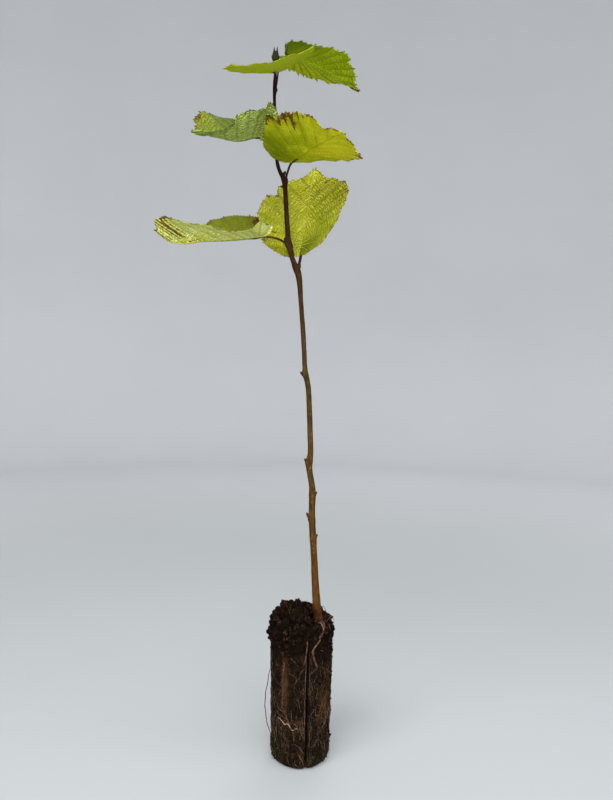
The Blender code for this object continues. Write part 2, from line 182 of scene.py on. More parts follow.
class Bench:
    """Blender steps that every piece shares."""

    @staticmethod
    def clear() -> None:
        """Leaves object mode with nothing selected."""
        if bpy.context.mode != "OBJECT":
            bpy.ops.object.mode_set(mode="OBJECT")
        bpy.ops.object.select_all(action="DESELECT")

    @staticmethod
    def fresh(name: str) -> bpy.types.Object:
        """Names the primitive that was just added.

        Args:
            name: the name.

        Returns:
            The primitive.
        """
        obj = bpy.context.active_object
        obj.name = obj.data.name = name
        return obj

    @staticmethod
    def read(data: Sequence[object], field: str, size: int = 3) -> np.ndarray:
        """Reads one value of every item of mesh data.

        Args:
            data: the vertices, normals or attribute values.
            field: what is read from each.
            size: how many numbers it has.

        Returns:
            The values, one row each.
        """
        flat = np.empty(len(data) * size, np.float32)
        data.foreach_get(field, flat)
        return flat.reshape(-1, size)

    @staticmethod
    def places(obj: bpy.types.Object) -> np.ndarray:
        """Returns the mesh's vertices, one row each."""
        return Bench.read(obj.data.vertices, "co").astype(float)

    @staticmethod
    def normals(obj: bpy.types.Object) -> np.ndarray:
        """Returns the mesh's vertex normals, one row each."""
        return Bench.read(obj.data.vertex_normals, "vector").astype(float)

    @staticmethod
    def mesh(name: str, points: np.ndarray, faces: list[list[int]]) -> bpy.types.Object:
        """Makes an object of faces that were worked out in numbers.

        Args:
            name: its name.
            points: its vertices, in millimetres.
            faces: the vertices of each face.

        Returns:
            The object, in the scene.
        """
        data = bpy.data.meshes.new(name)
        data.from_pydata((points * MM).tolist(), [], faces)
        obj = bpy.data.objects.new(name, data)
        bpy.context.scene.collection.objects.link(obj)
        return obj

    @staticmethod
    def move_to(obj: bpy.types.Object, points: np.ndarray) -> None:
        """Puts the mesh's vertices at new places."""
        obj.data.vertices.foreach_set("co", points.astype(np.float32).ravel())
        obj.data.update()

    @staticmethod
    def mark(obj: bpy.types.Object, name: str, values: np.ndarray) -> None:
        """Stores a number or a vector on each vertex, for a finish to read.

        Args:
            obj: the mesh.
            name: the attribute's name.
            values: one value for each vertex.
        """
        kind, field = ("FLOAT", "value") if values.ndim == 1 else ("FLOAT_VECTOR", "vector")
        layer = obj.data.attributes.get(name) or obj.data.attributes.new(name, kind, "POINT")
        layer.data.foreach_set(field, values.astype(np.float32).ravel())

    @staticmethod
    def apply(obj: bpy.types.Object, kind: str, **settings: object) -> None:
        """Adds a modifier and applies it.

        Args:
            obj: the mesh.
            kind: the modifier's Blender type.
            settings: its properties.
        """
        Bench.clear()
        bpy.context.view_layer.objects.active = obj
        obj.select_set(True)
        made = obj.modifiers.new(kind.lower(), kind)
        for key, value in settings.items():
            setattr(made, key, value)
        bpy.ops.object.modifier_apply(modifier=made.name)

    @staticmethod
    def publish(obj: bpy.types.Object, slot: Slot, finish: bpy.types.Material,
                nodes: Iterable[str] = ()) -> None:
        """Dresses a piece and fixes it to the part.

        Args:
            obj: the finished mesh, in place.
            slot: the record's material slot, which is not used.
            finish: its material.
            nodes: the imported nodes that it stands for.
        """
        obj.data.materials.clear()
        obj.data.materials.append(finish)
        obj.data.shade_smooth()
        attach(obj, BODY)
        if nodes:
            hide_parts(*nodes)
        log.info("%s: %d faces", obj.name, len(obj.data.polygons))


class Limbs:
    """Round limbs gathered into one mesh, each with closed ends."""

    def __init__(self, sides: int) -> None:
        """Starts an empty bundle.

        Args:
            sides: how many sides each limb has.
        """
        self.sides = sides
        self.points: list[np.ndarray] = []
        self.faces: list[list[int]] = []
        self.tones: list[np.ndarray] = []
        self.count = 0

    def add(self, route: np.ndarray, radii: np.ndarray, shade: np.ndarray | float = 0.5) -> None:
        """Adds a limb.

        Args:
            route: its centre line, in millimetres.
            radii: its radius at each point.
            shade: a number that its finish reads, for the limb or for each point.
        """
        along = np.gradient(route, axis=0)
        along /= np.linalg.norm(along, axis=1, keepdims=True) + 1e-12
        spare = np.eye(3)[np.argmin(np.abs(along).mean(0))]
        across = np.cross(along, spare)
        across /= np.linalg.norm(across, axis=1, keepdims=True)
        up = np.cross(across, along)
        turn = np.linspace(0, 2 * np.pi, self.sides, endpoint=False)
        ring = across[:, None] * np.cos(turn)[:, None] + up[:, None] * np.sin(turn)[:, None]
        self.points.append((route[:, None] + ring * radii[:, None, None]).reshape(-1, 3))
        rows, n = len(route), self.sides
        base = self.count + np.arange(rows - 1)[:, None] * n
        here, after = np.arange(n), (np.arange(n) + 1) % n
        quads = np.stack([base + here, base + after, base + n + after, base + n + here], axis=-1)
        self.faces += quads.reshape(-1, 4).tolist()
        last = self.count + (rows - 1) * n
        self.faces += [(self.count + here[::-1]).tolist(), (last + here).tolist()]
        self.tones.append(np.repeat(np.broadcast_to(shade, rows), n))
        self.count += rows * n

    def build(self, name: str) -> bpy.types.Object:
        """Makes the bundle one mesh, with its shades as an attribute.

        Args:
            name: the piece's name.

        Returns:
            The piece.
        """
        obj = Bench.mesh(name, np.vstack(self.points), self.faces)
        Bench.apply(obj, "WELD", merge_threshold=WELD_GAP)
        Bench.mark(obj, "shade", np.concatenate(self.tones)[:len(obj.data.vertices)])
        return obj


class Recipe:
    """A material that is being put together node by node."""

    def __init__(self, name: str) -> None:
        """Starts a material with a Principled shader.

        Args:
            name: the material's name.
        """
        self.material = bpy.data.materials.new(name)
        self.material.use_nodes = True
        self.tree = self.material.node_tree
        self.shader = self.tree.nodes["Principled BSDF"]

    def node(self, kind: str, inputs: dict[str | int, object] | None = None,
             **settings: object) -> bpy.types.Node:
        """Adds a node.

        Args:
            kind: its Blender type, without the ShaderNode in front.
            inputs: a value or an output socket for each input, by name or number.
            settings: its properties.

        Returns:
            The node.
        """
        made = self.tree.nodes.new("ShaderNode" + kind)
        for key, value in settings.items():
            setattr(made, key, value)
        for key, value in (inputs or {}).items():
            self.feed(made.inputs[key], value)
        return made

    def feed(self, socket: Socket, value: object) -> None:
        """Links an output to a socket, or sets the socket's own value.

        Args:
            socket: the input socket.
            value: an output socket, or a value.
        """
        if isinstance(value, Socket):
            self.tree.links.new(value, socket)
        else:
            socket.default_value = value

    def maths(self, operation: str, *values: object) -> Socket:
        """Returns the result of a Math node."""
        return self.node("Math", dict(enumerate(values)), operation=operation).outputs[0]

    def step(self, value: object, low: float, high: float, start: float = 0.0, end: float = 1.0) -> Socket:
        """Makes a smooth step.

        Args:
            value: what is looked up.
            low: where the step begins.
            high: where the step ends.
            start: the result at low and below.
            end: the result at high and above.

        Returns:
            The result.
        """
        return self.node("MapRange", {0: value, 1: low, 2: high, 3: start, 4: end},
                         interpolation_type="SMOOTHSTEP").outputs["Result"]

    def mix(self, share: object, first: object, second: object, blend: str = "MIX") -> Socket:
        """Mixes two colours, each a socket or a triple of display values.

        Args:
            share: how much of the second shows.
            first: the colour underneath.
            second: the colour on top.
            blend: how they blend.

        Returns:
            The mixed colour.
        """
        first, second = (tone(*part) if isinstance(part, tuple) else part for part in (first, second))
        made = self.node("Mix", {0: share, 6: first, 7: second}, data_type="RGBA", blend_type=blend)
        return made.outputs[2]

    def mark(self, name: str) -> tuple[Socket, ...]:
        """Returns the x, y and z of a vector that the mesh stores."""
        made = self.node("Attribute", attribute_name=name)
        return tuple(self.node("SeparateXYZ", {0: made.outputs["Vector"]}).outputs)

    def shade(self) -> Socket:
        """Returns the number that a limb stores."""
        return self.node("Attribute", attribute_name="shade").outputs["Fac"]

    def place(self) -> Socket:
        """Returns the Object coordinates."""
        return self.node("TexCoord").outputs["Object"]

    def height(self, at: Socket) -> Socket:
        """Returns how high a place is, in metres."""
        return self.node("SeparateXYZ", {0: at}).outputs[2]

    def drawn_out(self, at: Socket, share: float) -> Socket:
        """Returns places whose patterns are drawn out along the height, to 1 / share."""
        return self.node("Mapping", {0: at, 3: (1.0, 1.0, share)}).outputs[0]

    def cloud(self, at: object, scale: float, detail: float = 3.0, rough: float = 0.6,
              warp: float = 0.0) -> Socket:
        """Samples a Noise texture.

        Args:
            at: the place.
            scale: how many of its largest blots fit in a metre, or in one unit of at.
            detail: how many finer layers it has.
            rough: how strong they are.
            warp: how far it is distorted.

        Returns:
            The value, about 0.5 on average.
        """
        return self.node("TexNoise", {"Vector": at, "Scale": scale, "Detail": detail, "Roughness": rough,
                                      "Distortion": warp}).outputs[0]

    def cells(self, at: object, scale: float, feature: str = "DISTANCE_TO_EDGE") -> Socket:
        """Returns the distance that a Voronoi texture gives."""
        return self.node("TexVoronoi", {"Vector": at, "Scale": scale}, feature=feature).outputs["Distance"]

    def bump(self, height: object, depth: float, strength: float = 1.0, under: object = None) -> Socket:
        """Returns a normal roughened by a height.

        Args:
            height: the pattern.
            depth: how deep a change of 1 is, in millimetres.
            strength: the share of it that shows.
            under: a normal that it is added to.

        Returns:
            The normal.
        """
        inputs = {"Height": height, "Distance": depth * MM, "Strength": strength}
        if under is not None:
            inputs["Normal"] = under
        return self.node("Bump", inputs).outputs[0]

    def finish(self, colour: object, roughness: object, normal: object, specular: float = 0.4,
               glow: float = 0.0) -> bpy.types.Material:
        """Connects the shader.

        Args:
            colour: the base colour.
            roughness: the roughness.
            normal: the normal.
            specular: the specular level.
            glow: the share of light that comes through from behind.

        Returns:
            The material.
        """
        for key, value in (("Base Color", colour), ("Roughness", roughness), ("Normal", normal),
                           ("Specular IOR Level", specular)):
            self.feed(self.shader.inputs[key], value)
        if glow:
            half_way = self.node("Gamma", {0: colour, 1: 0.5})
            through = self.node("BsdfTranslucent", {"Color": half_way.outputs[0], "Normal": normal})
            both = self.node("MixShader", {0: glow, 1: self.shader.outputs[0], 2: through.outputs[0]})
            self.feed(self.tree.nodes["Material Output"].inputs["Surface"], both.outputs[0])
        return self.material


@dataclass(frozen=True)
class LeafFinish:
    """A leaf's colours, as display values, and the strength of its pattern.

    Each pair is two shades of one face. Widths and the distance between streaks are millimetres.
    """

    name: str
    upper: tuple[Triple, Triple]
    lower: tuple[Triple, Triple]
    vein: Triple
    net: Triple
    vein_share: float = 0.5
    rung_share: float = 0.45
    net_share: float = 0.4
    freckles: float = 0.0
    rim: float = 0.6
    # how much painted shade lies in the hollows next to the veins
    vein_shade: float = 0.25
    glow: float = 0.2
    vein_width: float = 0.14
    streak: float = 2.6
    aged: Triple = (222, 212, 40)
    # deep: the deep green of the painted shade that the marks lay on
    deep: Triple = (62, 84, 4)
    # the colour of the painted shade in the hollows next to the veins
    hollow: Triple = (40, 56, 0)
    mottle: Triple = (60, 70, 10)
    scorched: tuple[Triple, Triple] = ((116, 78, 24), (36, 22, 10))
    charred: Triple = (24, 16, 6)
    freckle: Triple = (96, 58, 16)

    def lattice(self, r: Recipe, plane: Socket) -> tuple[Socket, Socket]:
        """Works out where the veins run.

        Args:
            r: the material in the making.
            plane: the flat leaf's coordinates.

        Returns:
            The large veins, and the ladder of small veins with its net.
        """
        vein, rib, edge = r.mark("veins")
        along, line, _ = r.mark("lattice")
        width = r.maths("MULTIPLY_ADD", edge, 0.007, self.vein_width)
        main = r.step(r.maths("DIVIDE", vein, width), 0.6, 1.9, 1.0, 0.0)
        spine = r.step(rib, 0.2, 0.65, 1.0, 0.0)
        wobble = r.maths("MULTIPLY_ADD", r.cloud(plane, 20.0, 2.0), 3.0, r.maths("MULTIPLY", line, 1.37))
        rung = r.maths("PINGPONG", r.maths("MULTIPLY_ADD", along, 0.46, wobble), 0.5)
        rung = r.step(rung, 0.08, 0.31, self.rung_share, 0.0)
        net = r.step(r.cells(plane, 46.0), 0.02, 0.22, self.net_share, 0.0)
        return r.maths("MAXIMUM", main, spine), r.maths("MAXIMUM", rung, net)

    def make(self) -> bpy.types.Material:
        """Mixes the leaf material: veins, net, aged margin, scorch and freckles over a mottled green, with
        painted shade next to the veins and in deep green patches.

        Returns:
            The material.
        """
        r = Recipe(self.name)
        from_vein, _, edge = r.mark("veins")
        under = r.mark("lattice")[2]
        # scorch and yellow are real stains; deep is painted shade
        scorch, yellow, deep = r.mark("wear_and_shade")
        plane = r.node("UVMap", uv_map="plane").outputs[0]
        wash = r.step(r.cloud(plane, 7.0, 4.0, 0.6, 0.6), 0.38, 0.64)
        fine = r.cloud(plane, 60.0, 3.0, 0.6)
        colour = r.mix(under, r.mix(wash, *self.upper), r.mix(wash, *self.lower))
        colour = r.mix(yellow, colour, self.aged)
        # painted shade: deep green patches where the leaf is in shade
        colour = r.mix(deep, colour, self.deep)

        main, ladder = self.lattice(r, plane)
        # painted shade in the hollows next to the raised veins
        shade_beside_veins = r.step(from_vein, 0.2, 1.7, self.vein_shade, 0.0)
        colour = r.mix(shade_beside_veins, colour, self.hollow)
        colour = r.mix(ladder, colour, self.net)
        colour = r.mix(r.maths("MULTIPLY", main, self.vein_share), colour, self.vein)
        colour = r.mix(r.step(fine, 0.3, 0.75, 0.0, 0.2), colour, self.mottle, "MULTIPLY")

        rim = r.step(r.maths("MULTIPLY_ADD", fine, 1.4, edge), 0.8, 1.9, self.rim, 0.0)
        burn = r.maths("MAXIMUM", scorch, r.maths("MULTIPLY", rim, r.step(r.cloud(plane, 18.0), 0.42, 0.6)))
        near_vein = r.step(r.maths("PINGPONG", from_vein, self.streak), 0.15, 0.95, 0.55, 0.0)
        burn = r.maths("ADD", burn, r.maths("MULTIPLY", near_vein, r.step(scorch, 0.1, 0.5)))
        patch = r.maths("ADD", burn, r.maths("MULTIPLY_ADD", r.cloud(plane, 34.0, 4.0, 0.7), 0.9, -0.45))
        brown = r.mix(r.step(r.cloud(plane, 55.0), 0.38, 0.62), *self.scorched)
        brown = r.mix(r.step(patch, 0.85, 1.25), brown, self.charred)
        colour = r.mix(r.step(patch, 0.34, 0.6, 0.0, 0.94), colour, brown)
        speck = r.step(r.cells(plane, 24.0, "F1"), 0.10, 0.2, 1.0, 0.0)
        speck = r.maths("MULTIPLY", speck, r.step(r.cloud(plane, 9.0), 0.48, 0.58, 0.0, self.freckles))
        colour = r.mix(speck, colour, self.freckle)

        side = r.maths("MULTIPLY_ADD", under, 2.0, -1.0)
        height = r.maths("MAXIMUM", ladder, r.maths("MULTIPLY", main, 0.5))
        normal = r.bump(r.maths("MULTIPLY", height, side), 0.7, 1.0)
        normal = r.bump(fine, 0.2, 0.6, normal)
        return r.finish(colour, r.step(fine, 0.3, 0.7, 0.5, 0.68), normal, 0.05, self.glow)


@dataclass(frozen=True)
class StalkFinish:
    """A leaf stalk, whose colour changes from the stem to the blade, with a fine grainy bump."""

    name: str
    foot: Triple = (46, 20, 16)
    tip: Triple = (70, 52, 22)
    speckle: Triple = (22, 12, 8)

    def make(self) -> bpy.types.Material:
        """Mixes the stalk material.

        Returns:
            The material.
        """
        r = Recipe(self.name)
        at = r.place()
        along = r.shade()
        mottled = r.maths("ADD", along, r.maths("MULTIPLY_ADD", r.cloud(at, 260.0), 0.6, -0.3))
        colour = r.mix(r.step(mottled, 0.15, 0.85), self.foot, self.tip)
        grainy = r.cloud(at, 1500.0, 4.0, 0.7)
        colour = r.mix(r.step(grainy, 0.35, 0.7, 0.0, 0.5), colour, self.speckle)
        return r.finish(colour, 0.58, r.bump(grainy, 0.15, 0.8), 0.03)


@dataclass(frozen=True)
class BarkFinish:
    """Smooth young bark, golden at the foot and dark red brown at the top, with lenticels."""

    name: str = "young_bark"
    foot: float = 104.0
    top: float = 535.0
    streaks: Triple = (22, 12, 6)
    skin: Triple = (120, 104, 74)
    pores: Triple = (140, 108, 62)
    bands: tuple[tuple[float, Triple], ...] = (
        (0.0, (42, 18, 10)), (0.03, (70, 42, 10)), (0.22, (62, 43, 13)), (0.42, (54, 41, 15)),
        (0.62, (44, 28, 11)), (0.8, (30, 12, 6)), (1.0, (24, 7, 8)))

    def make(self) -> bpy.types.Material:
        """Mixes the bark material.

        Returns:
            The material.
        """
        r = Recipe(self.name)
        at = r.place()
        patchy = r.maths("MULTIPLY_ADD", r.cloud(at, 45.0, 4.0, 0.65), 0.30, -0.15)
        linear = r.node("MapRange", {0: r.height(at), 1: self.foot * MM, 2: self.top * MM}).outputs[0]
        climb = r.maths("ADD", linear, patchy)
        ramp = r.node("ValToRGB", {0: climb})
        bands = ramp.color_ramp.elements
        while len(bands) < len(self.bands):
            bands.new(0.5)
        for band, (place, colour) in zip(bands, self.bands):
            band.position, band.color = place, tone(*colour)
        streak = r.cloud(r.drawn_out(at, 0.16), 900.0, 4.0, 0.6)
        colour = r.mix(r.step(streak, 0.36, 0.66, 0.0, 0.6), ramp.outputs[0], self.streaks)
        young = r.step(climb, 0.35, 0.75, 1.0, 0.25)
        film = r.maths("MULTIPLY", young, r.step(r.cloud(at, 130.0, 4.0, 0.7), 0.52, 0.76, 0.0, 0.16))
        colour = r.mix(film, colour, self.skin)
        pore = r.step(r.cells(r.drawn_out(at, 0.45), 520.0, "F1"), 0.12, 0.25, 1.0, 0.0)
        above_foot = r.step(linear, 0.03, 0.14, 0.0, 0.34)
        shown = r.maths("MULTIPLY", r.maths("MULTIPLY", pore, young), above_foot)
        colour = r.mix(shown, colour, self.pores)
        normal = r.bump(streak, 0.22, 0.8)
        normal = r.bump(pore, 0.25, 0.9, normal)
        return r.finish(colour, r.step(streak, 0.3, 0.7, 0.45, 0.7), normal, 0.03)


@dataclass(frozen=True)
class PeatFinish:
    """Moist dark peat with fibres, sandy grains and a green tint at its foot."""

    name: str = "moist_peat"
    soil: tuple[Triple, Triple] = ((4, 3, 2), (19, 12, 8))
    bits: tuple[Triple, Triple] = ((27, 18, 14), (54, 36, 23))
    rust: Triple = (84, 56, 26)
    fibre: Triple = (74, 54, 36)
    moss: Triple = (34, 36, 14)
    # slot: near-black painted shade in the slots and the cracks between clods, partly wet peat
    slot: Triple = (3, 2, 2)

    def make(self) -> bpy.types.Material:
        """Mixes the peat material, which reads the painted shade of the slots and cracks, how rooty and how
        warm each place is.

        Returns:
            The material.
        """
        r = Recipe(self.name)
        at = r.place()
        slot_and_crack_shade, rooty, warm = r.mark("soil")
        coarse = r.cloud(at, 170.0, 6.0, 0.7)
        fine = r.cloud(at, 1100.0, 5.0, 0.75)
        colour = r.mix(r.step(coarse, 0.36, 0.68), *self.soil)
        bits = r.step(fine, 0.5, 0.68, 0.0, 0.75)
        colour = r.mix(bits, colour, r.mix(rooty, *self.bits))
        warmth = r.maths("MULTIPLY", warm, r.step(r.cloud(at, 300.0, 4.0, 0.7), 0.4, 0.62, 0.25, 0.95))
        colour = r.mix(warmth, colour, self.rust)
        thread = r.step(r.cells(r.drawn_out(at, 0.2), 560.0), 0.0, 0.06, 1.0, 0.0)
        thread = r.maths("MULTIPLY", thread, r.step(r.cloud(at, 110.0), 0.42, 0.58, 0.1, 0.9))
        thread = r.maths("MULTIPLY", thread, rooty)
        colour = r.mix(thread, colour, self.fibre)
        low = r.step(r.height(at), 0.003, 0.02, 0.6, 0.0)
        moss = r.maths("MULTIPLY", low, r.step(r.cloud(at, 90.0), 0.5, 0.62))
        colour = r.mix(moss, colour, self.moss)
        # painted shade in the slots and the cracks between clods, partly wet peat
        colour = r.mix(slot_and_crack_shade, colour, self.slot)
        normal = r.bump(coarse, 1.4, 1.0)
        normal = r.bump(fine, 0.6, 1.0, normal)
        normal = r.bump(thread, 0.3, 0.8, normal)
        return r.finish(colour, r.step(fine, 0.3, 0.7, 0.5, 0.9), normal, 0.015)


@dataclass(frozen=True)
class RootFinish:
    """Woody roots whose colour changes from one to the next."""

    name: str
    dark: Triple
    pale: Triple
    soil: Triple = (20, 12, 8)

    def make(self) -> bpy.types.Material:
        """Mixes the root material.

        Returns:
            The material.
        """
        r = Recipe(self.name)
        at = r.place()
        shade = r.shade()
        speckle = r.cloud(at, 700.0, 4.0, 0.7)
        share = r.maths("ADD", shade, r.maths("MULTIPLY_ADD", speckle, 0.9, -0.45))
        colour = r.mix(r.step(share, 0.1, 0.9), self.dark, self.pale)
        soil = r.step(r.cloud(at, 300.0, 4.0), 0.52, 0.62, 0.0, 0.75)
        colour = r.mix(soil, colour, self.soil)
        return r.finish(colour, 0.7, r.bump(speckle, 0.2, 0.8), 0.03)


@dataclass(frozen=True)
class BudFinish:
    """Bud scales: dull and downy, darker at their edges."""

    name: str
    body: Triple
    tip: Triple
    speckle: Triple = (14, 10, 7)

    def make(self) -> bpy.types.Material:
        """Mixes the bud material.

        Returns:
            The material.
        """
        r = Recipe(self.name)
        at = r.place()
        share = r.mark("scale")[0]
        down = r.cloud(at, 1400.0, 4.0, 0.7)
        darker = r.step(r.maths("MULTIPLY_ADD", down, 0.5, share), 0.4, 1.2)
        colour = r.mix(darker, self.body, self.tip)
        colour = r.mix(r.step(down, 0.4, 0.7, 0.0, 0.5), colour, self.speckle)
        return r.finish(colour, 0.6, r.bump(down, 0.15, 0.8), 0.03)


@dataclass(frozen=True)
class StudioFinish:
    """Matt pale paint: a grey floor that grows lighter with distance into the wall, painted light that
    makes up for the lamps' fall-off, with the faintest mottle.
    """

    name: str = "pale_paint"
    floor: Triple = (151, 155, 157)
    wall: Triple = (180, 182, 185)
    near: float = 0.45
    far: float = 1.5
    mottle: Triple = (120, 122, 124)

    def make(self) -> bpy.types.Material:
        """Mixes the paint.

        Returns:
            The material.
        """
        r = Recipe(self.name)
        at = r.place()
        away = r.node("VectorMath", {0: at}, operation="LENGTH").outputs["Value"]
        # painted light: the paint grows lighter with distance from the middle, evening out the lamps'
        # fall-off
        colour = r.mix(r.step(away, self.near, self.far), self.floor, self.wall)
        colour = r.mix(r.step(r.cloud(at, 3.0, 2.0), 0.3, 0.7, 0.0, 0.04), colour, self.mottle)
        return r.finish(colour, 0.9, r.bump(r.cloud(at, 900.0), 0.02, 0.3), 0.1)


@dataclass(frozen=True)
class Joint:
    """A place on the stem: height, sideways offset and diameter."""

    height: float
    across: float
    diameter: float


@dataclass(frozen=True)
class Node:
    """A swelling on the stem under a leaf or a bud."""

    height: float
    bearing: float
    size: float


@dataclass(frozen=True)
class Stem:
    """The stem: its axis, its swollen nodes and its bark relief."""

    joints: tuple[Joint, ...]
    nodes: tuple[Node, ...]
    sway: float = 3.5
    sway_top: float = 377.0
    sunk: float = 1.6
    swell: float = 1.06
    ring_gap: float = 0.9
    sides: int = 48
    swelling_reach: float = 3.6
    ledge_reach: float = 1.1
    ridges: float = 0.9
    ridge_turns: float = 2.6
    flare_reach: float = 14.0

    def route(self) -> np.ndarray:
        """Works out the axis.

        Returns:
            The axis point and radius, one row for each ring from the foot to the tip.
        """
        foot = self.joints[0].height
        keys = []
        for joint in self.joints:
            climb = (joint.height - foot) / (self.sway_top - foot)
            sway = self.sway * math.sin(math.pi * climb) if climb < 1.0 else 0.0
            keys.append((joint.across, sway, joint.height, joint.diameter / 2))
        tall = self.joints[-1].height - foot
        axis = evenly(spline(keys, 8), round(tall / self.ring_gap))
        axis[axis[:, 2] < foot + 4, 0] = np.interp(foot + 5, axis[:, 2], axis[:, 0])
        axis[0, 2] -= self.sunk
        axis[:, 3] *= self.swell
        return axis

    def at(self, height: float) -> tuple[np.ndarray, float]:
        """Finds a place on the axis.

        Args:
            height: how high it is.

        Returns:
            The axis point and the radius there.
        """
        axis = self.route()
        x, y, radius = (np.interp(height, axis[:, 2], axis[:, k]) for k in (0, 1, 3))
        return np.array([x, y, height]), float(radius)

    def build(self) -> None:
        """Makes the stem with its swellings, leaf scars and wrinkled bark."""
        axis = self.route()
        Bench.clear()
        bpy.ops.mesh.primitive_uv_sphere_add(segments=self.sides, ring_count=len(axis) + 1, radius=1)
        stem = Bench.fresh("stem_bark")
        raw = Bench.places(stem)
        ring = (1 - np.arccos(np.clip(raw[:, 2], -1, 1)) / np.pi) * (len(axis) + 1) - 1
        level = np.clip(ring, 0, len(axis) - 1)
        x, y, z, radius = (np.interp(level, np.arange(len(axis)), column) for column in axis.T)
        turn = np.arctan2(raw[:, 1], raw[:, 0])
        rim = (np.hypot(raw[:, 0], raw[:, 1]) > 1e-5).astype(float)
        for node in self.nodes:
            off = np.cos(turn - math.radians(node.bearing))
            near = np.exp(-(((z - node.height) / self.swelling_reach) ** 2))
            ledge = np.exp(-(((z - node.height - 0.6) / self.ledge_reach) ** 2)) * smooth(0.2, 1.0, off)
            radius = radius + near * node.size * 0.6 + ledge * node.size
        ridged = grain(round_axis(turn, self.ridge_turns, z * 0.12), self.ridges, 3)
        coarse = grain(round_axis(turn, self.ridge_turns, z), 5.0, 2, 4.0)
        flare = smooth(self.flare_reach, 0.0, z - self.joints[0].height)
        radius = radius + ridged * (0.07 + 0.35 * flare) + coarse * (0.10 + 0.2 * flare)
        points = np.stack([x + np.cos(turn) * rim * radius, y + np.sin(turn) * rim * radius, z], axis=1)
        Bench.move_to(stem, points * MM)
        Bench.publish(stem, Slot.BARK, BarkFinish().make(), ["stem"])


@dataclass(frozen=True)
class Nudge:
    """A local change of a leaf: pulls an edge, or the whole width where no half is given, by a vector."""

    half: Half | None
    share: float
    reach: float
    pull: Triple
    inner: float = 0.4


@dataclass(frozen=True)
class Mark:
    """A stain, a patch of painted shade, or both on a leaf, at a share along its vein rows and a share from
    the midrib to the edge.
    """

    half: Half
    share: float
    away: float
    size: tuple[float, float]
    scorch: float = 0.0
    yellow: float = 0.0
    # deep: how much painted shade, as deep green, the mark lays on
    deep: float = 0.0


